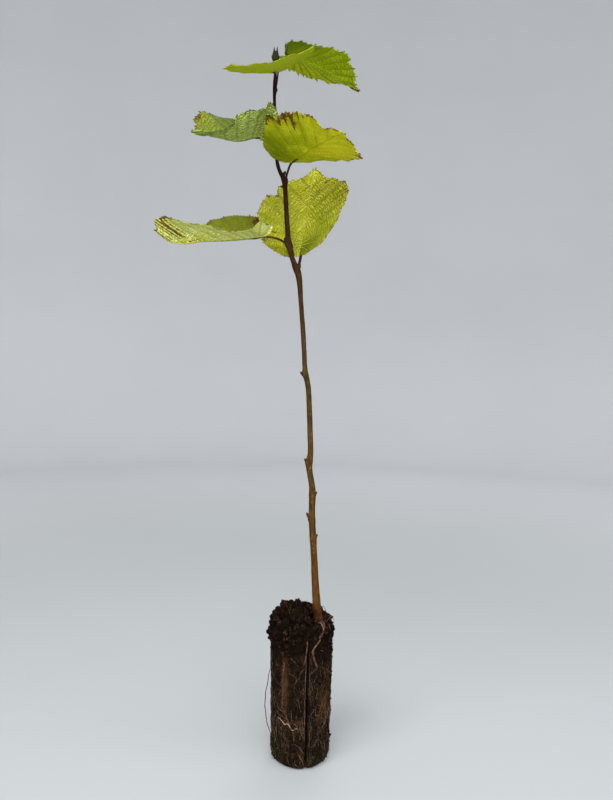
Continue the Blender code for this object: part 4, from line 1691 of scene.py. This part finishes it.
    def slot_roots(self, rng: np.random.Generator) -> Iterable[Strand]:
        """Draws the pale roots that follow the edges of the slots.

        Args:
            rng: the source of chance.

        Yields:
            One root at a time.
        """
        lifts = (-0.3, 0.35, 0.4, 0.4, 0.35, -0.4)
        for number in range(self.slot_count):
            middle = self.slot_bearing + 360 / self.slot_count * number
            for edge in (-1, 1):
                high = self.slot_ends[1] - rng.uniform(0, 10)
                while high > 16:
                    low = max(high - rng.uniform(18, 46), 5.0)
                    bearing = middle + edge * rng.uniform(3.2, 4.6)
                    thickness, levels = rng.uniform(0.3, 0.6), np.linspace(high, low, len(lifts))
                    stations = tuple((bearing + rng.normal(0, 0.5), *pair) for pair in zip(levels, lifts))
                    yield Strand(thickness, stations, rng.uniform(0.0, 0.35))
                    high = low - rng.uniform(2, 12)

    def crumb_spots(self, rng: np.random.Generator, skin: BVHTree) -> Iterable[tuple[np.ndarray, float]]:
        """Scatters the crumbs, most of them on the top and its rim, and none at the stem.

        Args:
            rng: the source of chance.
            skin: the surface of the peat.

        Yields:
            Where a crumb lies, and its size.
        """
        for number in range(self.crumb_count):
            bearing = rng.uniform(0, 360, 1)
            kind = number % 8
            if kind < 5:
                at = self.top(bearing, rng.uniform(0.0, 0.9, 1) ** (1.6 if kind < 2 else 1.2))[0]
                size = rng.uniform(1.3, 2.6) if kind < 2 else rng.uniform(0.4, 1.2)
            elif kind == 5:
                at = self.side(bearing, self.height * rng.uniform(0.86, 1.0, 1))[0]
                size = rng.uniform(0.8, 1.9)
            else:
                at = self.side(bearing, self.height * rng.uniform(0.02, 0.95, 1))[0]
                size = rng.uniform(0.3, 1.0)
            from_stem = math.hypot(at[0] - self.hollow_across, at[1])
            if from_stem > self.clear_of_stem or at[2] < self.height - 4:
                yield self.laid(skin, at[None], 0.3 * size)[0], size

    def crumbs(self, skin: BVHTree, roots: np.ndarray) -> bpy.types.Object:
        """Makes loose crumbs of peat.

        Args:
            skin: the surface of the peat.
            roots: points on the roots that no crumb may hide.

        Returns:
            The piece.
        """
        rng = np.random.default_rng(self.seed + 1)
        Bench.clear()
        shapes = []
        for fineness in (1, 2):
            bpy.ops.mesh.primitive_ico_sphere_add(subdivisions=fineness, radius=1)
            start = Bench.fresh("crumb")
            sides = np.array([tuple(face.vertices) for face in start.data.polygons])
            shapes.append((Bench.places(start), sides))
            bpy.data.objects.remove(start)
        points, faces, pale, count = [], [], [], 0
        for at, size in self.crumb_spots(rng, skin):
            if np.min(np.linalg.norm(roots - at, axis=1)) < size + 1.2:
                continue
            shape, sides = shapes[int(size > self.crumb_fine)]
            turn = np.linalg.qr(rng.normal(size=(3, 3)))[0]
            turn = turn * np.sign(np.linalg.det(turn))
            bumps = 1 + 0.55 * grain(shape + at * 3, 0.7, 3)
            points.append((shape * rng.uniform(0.6, 1.2, 3) * bumps[:, None]) @ turn.T * size + at)
            faces.append(sides + count)
            # the palest crumbs are painted glints of the moist peat
            pale.append(np.full(len(shape), rng.choice(self.crumb_tones_and_glints)))
            count += len(shape)
        crumbs = Bench.mesh("root_ball_crumbs", np.vstack(points), np.vstack(faces).tolist())
        Bench.mark(crumbs, "soil", np.concatenate(pale)[:, None] * np.array([0.0, 1.0, 0.0]))
        return crumbs

    def build(self) -> None:
        """Makes and dresses every piece of the ball."""
        peat = PeatFinish().make()
        fine = RootFinish("fine_roots", (18, 12, 9), (112, 94, 74)).make()
        ball = self.body()
        faces = [tuple(face.vertices) for face in ball.data.polygons]
        skin = BVHTree.FromPolygons((Bench.places(ball) / MM).tolist(), faces)
        thick = self.thick_routes(skin)
        limbs = Limbs(self.root_sides)
        for route, radii, shade in thick:
            limbs.add(route, radii, shade)
        Bench.publish(limbs.build("root_ball_roots"), Slot.BALL,
                      RootFinish("thick_roots", (46, 27, 22), (150, 124, 104)).make())
        Bench.publish(self.crumbs(skin, np.vstack([route for route, _, _ in thick])), Slot.BALL, peat)
        Bench.publish(self.hairs(skin), Slot.BALL, fine)
        Bench.publish(self.whiskers(), Slot.BALL, fine)
        Bench.publish(ball, Slot.BALL, peat, ["root_ball"])


@dataclass(frozen=True)
class Lamp:
    """A square soft light: its place and side in metres, its power in watts and its colour."""

    name: str
    place: Triple
    side: float
    power: float
    colour: Triple

    def hang(self, target: Vector) -> None:
        """Adds the light to the scene, unseen by the camera.

        Args:
            target: the place that it faces.
        """
        Bench.clear()
        bpy.ops.object.light_add(type="AREA", location=self.place)
        lamp = bpy.context.active_object
        lamp.name = self.name
        lamp.visible_camera = False
        lamp.data.size, lamp.data.energy, lamp.data.color = self.side, self.power, self.colour
        lamp.rotation_euler = (target - Vector(self.place)).to_track_quat("-Z", "Y").to_euler()


@dataclass(frozen=True)
class Studio:
    """The floor, the lights and the camera."""

    lamps: tuple[Lamp, ...]
    lit_height: float = 280.0
    sky: Triple = (0.97, 0.985, 1.0)
    sky_strength: float = 0.62
    camera_place: Triple = (0.0, -487.0, 303.0)
    camera_tilt: float = 87.3
    camera_roll: float = 1.1
    lens: float = 28.44
    sensor: float = 36.0
    near_clip: float = 0.01
    floor_radius: float = 1500.0
    wall_height: float = 2400.0
    wall_curve: float = 700.0
    wall_steps: int = 14

    def floor(self) -> None:
        """Makes a pale floor that sweeps up into a round wall."""
        Bench.clear()
        bpy.ops.mesh.primitive_circle_add(vertices=96, radius=self.floor_radius * MM, fill_type="TRIFAN")
        floor = Bench.fresh("pale_sweep")
        bpy.ops.object.mode_set(mode="EDIT")
        bpy.ops.mesh.select_all(action="DESELECT")
        bpy.ops.object.mode_set(mode="OBJECT")
        for vertex in floor.data.vertices:
            vertex.select = vertex.co.length > 0.5 * self.floor_radius * MM
        for edge in floor.data.edges:
            edge.select = all(floor.data.vertices[v].select for v in edge.vertices)
        bpy.ops.object.mode_set(mode="EDIT")
        wide, level = self.floor_radius, 0.0
        for number in range(1, self.wall_steps + 2):
            turn = min(number / self.wall_steps, 1.0) * math.pi / 2
            reach = self.floor_radius + self.wall_curve * math.sin(turn)
            bend = self.wall_curve * (1 - math.cos(turn))
            climb = bend if number <= self.wall_steps else self.wall_height
            bpy.ops.mesh.extrude_region_move()
            grow = reach / wide
            bpy.ops.transform.resize(value=(grow, grow, 1.0), center_override=(0.0, 0.0, 0.0))
            bpy.ops.transform.translate(value=(0.0, 0.0, (climb - level) * MM))
            wide, level = reach, climb
        bpy.ops.mesh.select_all(action="SELECT")
        bpy.ops.mesh.normals_make_consistent(inside=True)
        bpy.ops.object.mode_set(mode="OBJECT")
        floor.data.shade_smooth()
        floor.data.materials.append(StudioFinish().make())
        floor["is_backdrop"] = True

    def build(self) -> None:
        """Sets up the studio and the scene's camera."""
        scene = bpy.context.scene
        self.floor()
        for lamp in self.lamps:
            lamp.hang(UP * self.lit_height * MM)
        scene.world = bpy.data.worlds.new("soft_sky")
        scene.world.use_nodes = True
        sky = scene.world.node_tree.nodes["Background"]
        sky.inputs["Color"].default_value = (*self.sky, 1.0)
        sky.inputs["Strength"].default_value = self.sky_strength
        scene.view_settings.view_transform = "Standard"
        bpy.ops.object.camera_add(location=[c * MM for c in self.camera_place])
        camera = bpy.context.active_object
        camera.rotation_euler = (math.radians(self.camera_tilt), 0.0, 0.0)
        camera.rotation_euler.rotate_axis("Z", math.radians(self.camera_roll))
        camera.data.sensor_width, camera.data.lens = self.sensor, self.lens
        camera.data.clip_start = self.near_clip
        scene.camera = camera


# Each joint: its height, how far right it is and its diameter. Each node: its height, bearing and size.
STEM = Stem(
    joints=tuple(Joint(*row) for row in (
        (104.5, 12.6, 8.8), (109.0, 12.2, 7.4), (116.0, 11.4, 6.3), (137.0, 9.6, 5.4), (163.0, 7.9, 4.8),
        (188.0, 6.0, 4.8), (207.0, 6.0, 4.7), (214.0, 5.4, 4.5), (226.0, 3.2, 4.5), (232.0, 2.9, 5.0),
        (239.0, 3.9, 4.2), (257.0, 3.2, 4.0), (284.0, 1.7, 3.9), (294.0, 0.3, 4.0), (300.0, -1.3, 4.3),
        (307.0, -1.9, 3.6), (331.0, -3.5, 3.5), (355.0, -5.7, 3.4), (367.0, -6.7, 3.9), (377.0, -8.4, 4.6),
        (389.0, -13.2, 3.8), (401.0, -16.0, 3.9), (413.0, -17.2, 3.5), (439.0, -19.2, 3.4),
        (447.0, -20.0, 3.8), (453.0, -23.4, 3.0), (461.0, -25.8, 2.6), (477.0, -26.9, 2.5),
        (506.0, -28.5, 2.1), (513.0, -28.4, 2.2), (519.0, -28.3, 2.1), (533.8, -28.2, 1.8))),
    nodes=(Node(172, 0, 0.5), Node(186, 180, 0.5), Node(205.5, 0, 0.5), Node(231.5, 180, 0.5),
           Node(299, 180, 0.5), Node(380, 71, 0.9), Node(397.5, 180, 0.9), Node(447, -61, 0.8),
           Node(477, 200, 0.6), Node(513, 30, 0.6), Node(519, 267, 0.6)))

DUSTY = BudFinish("dusty_scales", (50, 32, 18), (62, 24, 20))
GREY = BudFinish("grey_scales", (38, 42, 22), (24, 22, 16))
# Each bud: its height on the stem, bearing, lean, length, width and finish.
BUDS = (
    Bud("bud_low_1", 172.5, 0, 42, 3.3, 2.3, DUSTY), Bud("bud_low_2", 187.0, 180, 32, 6.0, 2.6, DUSTY),
    Bud("bud_low_3", 206.0, 0, 42, 3.3, 2.3, DUSTY), Bud("bud_low_4", 232.0, 180, 48, 3.2, 2.4, DUSTY),
    Bud("bud_low_5", 299.5, 180, 50, 3.6, 2.6, DUSTY), Bud("bud_leaf_1", 380.0, -35, 30, 4.4, 2.9, DUSTY),
    Bud("bud_leaf_2", 400.2, 165, 32, 4.6, 3.0, GREY), Bud("bud_leaf_3", 450.5, 35, 32, 4.4, 2.6, GREY),
    Bud("bud_tip", 533.5, 0, 0, 10.4, 5.4, GREY, open_tip=1.2),
)

L, R = Half.LEFT, Half.RIGHT
# Each nudge: its half, share, reach and pull, and where its fade begins. Each mark: its half, share along
# the edge, share from the midrib, size in both, how scorched and yellow it is, and how deep green its
# painted shade is.
LEAVES = (
    Leaf("leaf_1",
         LeafFinish("leaf_upright", upper=((176, 180, 34), (200, 198, 66)),
                    lower=((170, 176, 60), (180, 182, 70)), vein=(190, 192, 80), net=(88, 92, 4),
                    vein_share=0.5, rung_share=0.68, net_share=0.2, freckles=0.6, rim=0.8, vein_shade=0.4,
                    glow=0.2),
         joint_height=380.0, base=(-6.7, 4.3, 396.9), heading=71.5, rise=66.5, roll=-8, length=75,
         width=1.04, droop=-1, droop_power=1.2, bend=-1, twist=8, fold=(14, 22), fold_gain=(-11, -18),
         cup=(-1, -4), wave=-0.8, wave_phase=0.2, fullness=0.4, pleat=0.07, stalk_radius=1.1,
         stalk_drop=2.2,
         nudges=(Nudge(L, 0.90, 0.05, (1.2, 0, -2.4)), Nudge(L, 0.70, 0.02, (2.8, 0, -3.0), 0.7),
                 Nudge(L, 0.75, 0.015, (-0.8, 0, 0.8), 0.8),
                 Nudge(L, 0.645, 0.012, (-0.6, 0, 1.0), 0.8), Nudge(R, 0.88, 0.05, (-0.6, 0, -2.6)),
                 Nudge(R, 0.79, 0.03, (0, 0, -1.4)), Nudge(R, 0.50, 0.10, (-1.8, 0, 0)),
                 Nudge(R, 0.07, 0.05, (-1.6, 0, -1.2)), Nudge(L, 0.0, 0.035, (0.5, -2.6, -4.8), 0.0),
                 Nudge(R, 0.0, 0.035, (-0.2, -2.6, -4.8), 0.0)),
         marks=(Mark(L, 0.70, 1.0, (0.02, 0.06), scorch=1.0), Mark(L, 0.76, 1.0, (0.012, 0.08), scorch=1.0),
                Mark(L, 0.65, 1.0, (0.012, 0.08), scorch=1.0),
                Mark(L, 0.18, 0.7, (0.12, 0.3), scorch=0.25, yellow=0.5),
                Mark(L, 0.40, 0.65, (0.06, 0.25), scorch=0.3, yellow=0.4),
                Mark(R, 0.86, 0.8, (0.07, 0.25), scorch=0.35),
                Mark(R, 0.70, 0.97, (0.2, 0.06), scorch=0.4),
                Mark(R, 0.15, 0.8, (0.15, 0.4), scorch=0.25, deep=0.5),
                Mark(R, 0.45, 0.5, (0.2, 0.4), deep=0.5), Mark(L, 0.9, 0.9, (0.06, 0.15), scorch=0.3),
                Mark(L, 0.2, 0.2, (0.4, 0.25), deep=0.6),
                Mark(R, 0.12, 0.4, (0.34, 0.8), deep=0.92),
                Mark(L, 0.14, 0.75, (0.18, 0.5), scorch=0.25, deep=0.66),
                Mark(L, 0.45, 0.85, (0.25, 0.4), deep=0.34),
                Mark(R, 0.6, 0.9, (0.2, 0.3), scorch=0.3, deep=0.2)),
         stalk=StalkFinish("stalk_upright", (38, 18, 14), (44, 28, 16))),
    Leaf("leaf_2",
         LeafFinish("leaf_hanging", upper=((70, 80, 0), (88, 96, 0)),
                    lower=((232, 242, 146), (228, 234, 120)), vein=(150, 156, 40), net=(126, 130, 24),
                    vein_share=0.2, rung_share=0.62, net_share=0.3, freckles=0.2, rim=0.8, vein_shade=0.3,
                    glow=0.2, vein_width=0.14, streak=1.45),
         joint_height=397.5, base=(-36.2, -2.0, 403.7), heading=180, rise=-9, roll=-3, length=82,
         width=1.01, droop=-31, droop_power=1.7, bend=-4, twist=16, fold=(13, 40), fold_gain=(6, -16),
         cup=(-30, 7), wave=0.4, wave_phase=2.5, fullness=1.0, pleat=0.09, tooth_gain=(1.0, 1.7),
         nudges=(Nudge(None, 0.93, 0.08, (0, 0, -4.6)), Nudge(L, 0.88, 0.05, (-6.0, 0, 3.6)),
                 Nudge(L, 0.95, 0.02, (-3.2, 0, 1.0), 0.5), Nudge(L, 0.99, 0.04, (-1.0, 0, 1.5)),
                 Nudge(L, 0.20, 0.06, (0, 0, 4.6)), Nudge(L, 0.10, 0.04, (0.8, 0, 3.2)),
                 Nudge(L, 0.40, 0.05, (0, 0, -2.0)), Nudge(R, 0.30, 0.05, (0, 0, -2.0)),
                 Nudge(R, 0.12, 0.09, (-6.5, 0, -0.5))),
         marks=(Mark(L, 0.86, 0.7, (0.07, 0.6), scorch=0.4, yellow=0.2),
                Mark(L, 0.96, 0.6, (0.07, 0.8), scorch=0.4, yellow=0.2),
                Mark(L, 0.84, 0.95, (0.06, 0.25), scorch=0.36, yellow=0.3),
                Mark(L, 0.78, 1.0, (0.1, 0.06), scorch=0.7),
                Mark(L, 0.95, 1.0, (0.08, 0.06), scorch=0.8),
                Mark(R, 0.9, 0.5, (0.08, 0.5), scorch=0.34, yellow=0.3),
                Mark(R, 0.22, 0.85, (0.04, 0.25), scorch=1.0), Mark(R, 0.27, 0.7, (0.03, 0.2), scorch=0.8),
                Mark(L, 0.85, 0.1, (0.1, 0.12), scorch=0.35, yellow=0.3)),
         stalk=StalkFinish("stalk_hanging", (44, 24, 12), (84, 64, 22))),
    Leaf("leaf_3",
         LeafFinish("leaf_front", upper=((140, 150, 20), (160, 162, 24)),
                    lower=((148, 158, 6), (192, 196, 34)), vein=(96, 98, 0), net=(120, 128, 4),
                    vein_share=0.24, rung_share=0.3, net_share=0.2, freckles=0.2, rim=0.9, vein_shade=0.05,
                    glow=0.32),
         joint_height=447.0, base=(-14.3, -6.8, 458.2), heading=-61, rise=5, roll=4, length=72,
         width=0.94, droop=14, droop_power=1.5, bend=1, twist=-15, fold=(9, 19), fold_gain=(-16, 1),
         cup=(-12, 4), wave=0.4, wave_phase=0.9, fullness=0.3, pleat=0.07, tooth_gain=(1.5, 1.0),
         nudges=(Nudge(R, 0.47, 0.055, (-1.4, 0, 4.4)), Nudge(R, 0.88, 0.035, (0, 0, -3.2)),
                 Nudge(L, 0.07, 0.08, (0, 0, 3.6), 0.2), Nudge(L, 0.20, 0.05, (0, 0, 1.2)),
                 Nudge(L, 0.55, 0.04, (4.6, 0, -1.0)), Nudge(R, 0.55, 0.02, (0, 0, -1.0), 0.8),
                 Nudge(R, 0.66, 0.012, (0, 0, -1.4), 0.8), Nudge(R, 0.735, 0.012, (0, 0, -1.0), 0.8)),
         marks=(Mark(R, 0.62, 1.0, (0.14, 0.24), scorch=0.62), Mark(R, 0.50, 1.0, (0.06, 0.12), scorch=0.8),
                Mark(R, 0.66, 0.75, (0.05, 0.22), scorch=0.5), Mark(R, 0.78, 1.0, (0.05, 0.05), scorch=0.7),
                Mark(R, 0.45, 1.0, (0.04, 0.1), scorch=0.7), Mark(R, 0.6, 0.9, (0.18, 0.3), yellow=0.3),
                Mark(L, 0.60, 1.0, (0.2, 0.08), scorch=0.6), Mark(L, 0.7, 0.6, (0.35, 0.6), yellow=0.7),
                Mark(R, 0.9, 0.6, (0.15, 0.7), yellow=0.4),
                Mark(R, 0.24, 0.6, (0.24, 0.7), deep=0.72),
                Mark(R, 0.5, 0.6, (0.15, 0.5), deep=0.2), Mark(R, 0.9, 1.0, (0.06, 0.05), scorch=0.6)),
         stalk=StalkFinish("stalk_front", (38, 18, 14), (70, 60, 12))),
    Leaf("leaf_4",
         LeafFinish("leaf_pale", upper=((94, 108, 34), (110, 122, 46)),
                    lower=((186, 206, 100), (200, 216, 110)), vein=(186, 200, 124), net=(78, 100, 32),
                    vein_share=0.4, rung_share=0.85, net_share=0.3, freckles=0.3, rim=0.9, vein_shade=0.35,
                    glow=0.2),
         joint_height=477.0, base=(-37.3, -2.6, 477.6), heading=226, rise=-15.5, roll=11, length=67,
         width=1.0, droop=-8, droop_power=1.5, bend=2, twist=-2, fold=(12, 47), fold_gain=(-23, 3),
         cup=(12, 8), wave=2.8, wave_phase=0.8, fullness=-0.1, pleat=0.13,
         nudges=(Nudge(None, 0.72, 0.17, (0, 0, -2.9)), Nudge(R, 0.80, 0.05, (2.8, 0, 0)),
                 Nudge(R, 0.90, 0.04, (2.8, 0, 0.6)), Nudge(R, 0.56, 0.04, (1.4, 0, 2.2)),
                 Nudge(L, 0.70, 0.03, (1.2, 0, 0.6)), Nudge(L, 0.80, 0.06, (7.5, 0, 1.0)),
                 Nudge(L, 0.90, 0.06, (10.0, 0, 1.0)), Nudge(L, 0.45, 0.1, (0, 0, 1.0)),
                 Nudge(L, 0.60, 0.06, (0, 0, 1.8)), Nudge(R, 0.40, 0.1, (0, 0, 1.6)),
                 Nudge(None, 0.12, 0.1, (0, 0, -1.6)), Nudge(R, 1.0, 0.02, (2.4, 0, 0), 0.0)),
         marks=(Mark(R, 0.64, 1.0, (0.05, 0.1), scorch=0.7),
                Mark(R, 0.60, 0.9, (0.06, 0.2), scorch=0.24, yellow=0.3),
                Mark(R, 1.0, 1.0, (0.02, 0.3), scorch=0.6), Mark(L, 0.68, 0.8, (0.04, 0.2), scorch=0.24),
                Mark(L, 0.95, 0.6, (0.08, 0.9), deep=0.62),
                Mark(R, 0.8, 0.7, (0.2, 0.5), yellow=0.25), Mark(L, 0.62, 1.0, (0.06, 0.05), scorch=0.6)),
         stalk=StalkFinish("stalk_pale", (40, 20, 16), (86, 76, 36))),
    Leaf("leaf_5",
         LeafFinish("leaf_fresh", upper=((94, 110, 0), (108, 124, 2)),
                    lower=((166, 190, 12), (186, 206, 34)), vein=(190, 210, 34), net=(92, 110, 0),
                    vein_share=0.6, rung_share=0.7, net_share=0.2, freckles=0.0, rim=0.4, vein_shade=0.75,
                    glow=0.45, vein_width=0.28),
         joint_height=517.0, base=(-19.3, 10.2, 544.0), heading=5.7, rise=3, roll=12, length=61,
         width=0.99, droop=33.5, droop_power=0.4, bend=-9, twist=2, fold=(3, 18), fold_gain=(15, 18),
         cup=(-20, -16), wave=1.7, wave_phase=0.8, fullness=0.5, pleat=0.17, vein_count=13,
         rows_per_vein=32, tooth=3.2, teeth_per_vein=2, tooth_gain=(1.8, 1.0), drip=0.05,
         stalk_radius=0.62, stalk_climb=1.5,
         nudges=(Nudge(R, 0.06, 0.07, (3.8, 0, 0.3)), Nudge(R, 0.27, 0.04, (0, 0, 0.8)),
                 Nudge(R, 0.9, 0.05, (-1.6, 0, 0)), Nudge(L, 0.25, 0.09, (-1.0, 0, -3.2)),
                 Nudge(L, 0.42, 0.025, (0, 0, 2.0)), Nudge(L, 0.65, 0.05, (0, 0, 2.4)),
                 Nudge(L, 0.59, 0.04, (0, 0, -1.8)), Nudge(L, 0.46, 0.02, (0, 0, 1.4)),
                 Nudge(R, 0.50, 0.04, (0, 0, 1.8)), Nudge(L, 0.53, 0.05, (0, 0, 2.6)),
                 Nudge(L, 0.85, 0.07, (0, 0, 2.6)), Nudge(R, 0.66, 0.04, (0.8, 0, 0.6))),
         marks=(Mark(R, 1.0, 0.8, (0.05, 0.9), scorch=0.9, deep=0.9),
                Mark(L, 0.96, 0.7, (0.07, 0.9), scorch=0.7, deep=0.95),
                Mark(R, 0.2, 0.9, (0.25, 0.6), deep=0.8),
                Mark(L, 0.45, 0.7, (0.3, 0.5), yellow=0.3)),
         stalk=StalkFinish("stalk_fresh", (44, 10, 18), (98, 98, 50))),
    Leaf("leaf_6",
         LeafFinish("leaf_level", upper=((140, 152, 18), (150, 162, 24)),
                    lower=((154, 168, 4), (168, 180, 14)), vein=(170, 178, 40), net=(116, 130, 0),
                    vein_share=0.3, rung_share=0.35, net_share=0.25, freckles=0.0, rim=0.4, vein_shade=0.15,
                    glow=0.48),
         joint_height=519.0, base=(-28.4, -5.9, 524.0), heading=267, rise=-18, roll=7, length=66,
         width=0.94, droop=5, droop_power=1.1, bend=4, twist=-1, fold=(16, 5), fold_gain=(-4, 0),
         cup=(-1, 0), wave=-0.4, wave_phase=-0.2, fullness=0.4, pleat=0.05, ruffle=0.4,
         nudges=(Nudge(R, 0.55, 0.03, (-2.6, 0, 0.2)), Nudge(R, 0.67, 0.025, (0, 0, 1.8)),
                 Nudge(R, 0.15, 0.10, (0, 0, 1.2)), Nudge(L, 0.57, 0.02, (3.0, 0, 2.8), 0.75)),
         marks=(Mark(L, 0.57, 1.0, (0.02, 0.12), scorch=0.7), Mark(R, 0.98, 1.0, (0.03, 0.08), scorch=0.7),
                Mark(R, 0.5, 1.0, (0.05, 0.06), scorch=0.5)),
         stalk=StalkFinish("stalk_level", (48, 12, 18), (84, 34, 26))),
)

# Each strand: its thickness, its stations as bearing, height and stand-off, and its shade. Each root of the
# crown: its thickness, its points, its shade and its lift. Each patch: where it is, how wide and how tall.
BALL = RootBall(
    strands=(
        Strand(1.5, ((-57, 101, 0.3), (-62, 98.5, 0.4), (-68, 94.5, 0.4), (-70, 91, 0.4), (-67, 86, 0.4),
                     (-61, 81, 0.1), (-59, 78, -0.6)), 0.3),
        Strand(1.2, ((-80, 101, -0.3), (-80.5, 97, 0.4), (-81, 92, 0.4), (-83, 87, 0.3), (-87, 81, -0.5)),
               0.26),
        Strand(1.7, ((-124, 84, -0.6), (-123, 78, 0.4), (-126, 70, 0.5), (-124, 61, 0.4), (-127, 50, -0.1),
                     (-125, 42, -0.8)), 0.2),
        Strand(0.45, ((-139, 38.6, -0.3), (-135.5, 37.5, 0.35), (-131, 37.6, 0.4), (-126.5, 36.4, 0.4),
                      (-121.5, 34.3, 0.4), (-117, 35.4, 0.4), (-112, 35.0, 0.4), (-107, 32.6, 0.4),
                      (-102.5, 31.7, 0.35), (-98, 33.2, 0.35), (-94, 32.4, -0.3)), 1.0),
        Strand(1.2, ((60, 88, -0.4), (52, 72, 0.3), (57, 52, 0.3), (49, 30, 0.2), (54, 14, -0.4)), 0.4),
        Strand(1.0, ((142, 80, -0.4), (134, 62, 0.3), (140, 44, 0.3), (130, 22, -0.4)), 0.7),
        Strand(0.65, ((-172, 71, -0.5), (-176, 66, 1.6), (-178, 56, 3.2), (-179, 47, 4.4), (-179, 39, 4.7),
                      (-178, 31, 4.2), (-177, 25, 3.2), (-175, 19, 1.8), (-172, 13, -0.4)), 0.12)),
    crown=(
        FreeRoot(2.6, ((15, 0, 106), (12, -4.5, 108), (8, -6.0, 109), (5.5, -7.5, 108), (4.5, -9.5, 108)),
                 0.2, 0.4),
        FreeRoot(3.6, ((12.8, 0, 106), (13.8, -6, 107), (14.8, -11, 106), (14.4, -16, 104),
                       (12.6, -20.5, 101)), 0.2, 0.3),
        FreeRoot(0.9, ((9, -3, 107.5), (10.5, -8.5, 108), (13, -12, 107), (14.5, -16, 104)), 0.42, 1.8),
        FreeRoot(1.3, ((15, 0, 106), (19, -3, 107), (20.5, -7, 106), (21.0, -10.5, 102), (20.4, -13, 96)),
                 0.15, 0.2),
        FreeRoot(1.0, ((13, 1, 107), (10, 4, 108), (6, 6, 110), (1, 7, 112)), 0.1, 0.1),
        FreeRoot(0.45, ((16, 1, 107), (18.5, 1, 113), (16.5, 1, 118), (14.6, 1, 116.5)), 0.1),
        FreeRoot(0.45, ((17, -2, 107), (20, -2, 112), (21.8, -3, 111), (22.5, -4, 107)), 0.2),
        FreeRoot(0.4, ((19, 2, 105), (22, 1, 110), (24.5, 0, 108.5), (25, 0, 105)), 0.3)),
    patches=(WarmPatch(-40, 45, 5.0, 11.0), WarmPatch(-122, 66, 2.6, 16.0), WarmPatch(-30, 70, 2.5, 6.0)),
)

STUDIO = Studio((
    Lamp("key", (-0.75, -1.0, 1.55), 1.1, 34.0, (1.0, 0.985, 0.96)),
    Lamp("front", (0.3, -1.5, 0.9), 1.4, 34.0, (1.0, 0.99, 0.97)),
    Lamp("fill", (1.1, -0.6, 1.0), 1.2, 12.0, (0.97, 0.985, 1.0)),
    Lamp("back", (0.3, 1.1, 1.5), 1.0, 9.0, (1.0, 1.0, 1.0)),
    Lamp("bounce", (-0.1, -0.75, 0.04), 0.7, 9.0, (1.0, 1.0, 0.99)),
))


def main() -> None:
    """Builds the sapling and its studio, piece by piece."""
    logging.basicConfig(level=logging.INFO, format="%(message)s", stream=sys.stdout)
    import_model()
    cad_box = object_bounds()
    BALL.build()
    STEM.build()
    for leaf in LEAVES:
        leaf.build(STEM)
    for bud in BUDS:
        bud.build(STEM)
    STUDIO.build()
    found = {"cad": cad_box, "visual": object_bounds()}
    boxes = {name: [list(corner) for corner in box] for name, box in found.items()}
    log.info("sizes: %s", boxes)


if __name__ == "__main__":
    main()
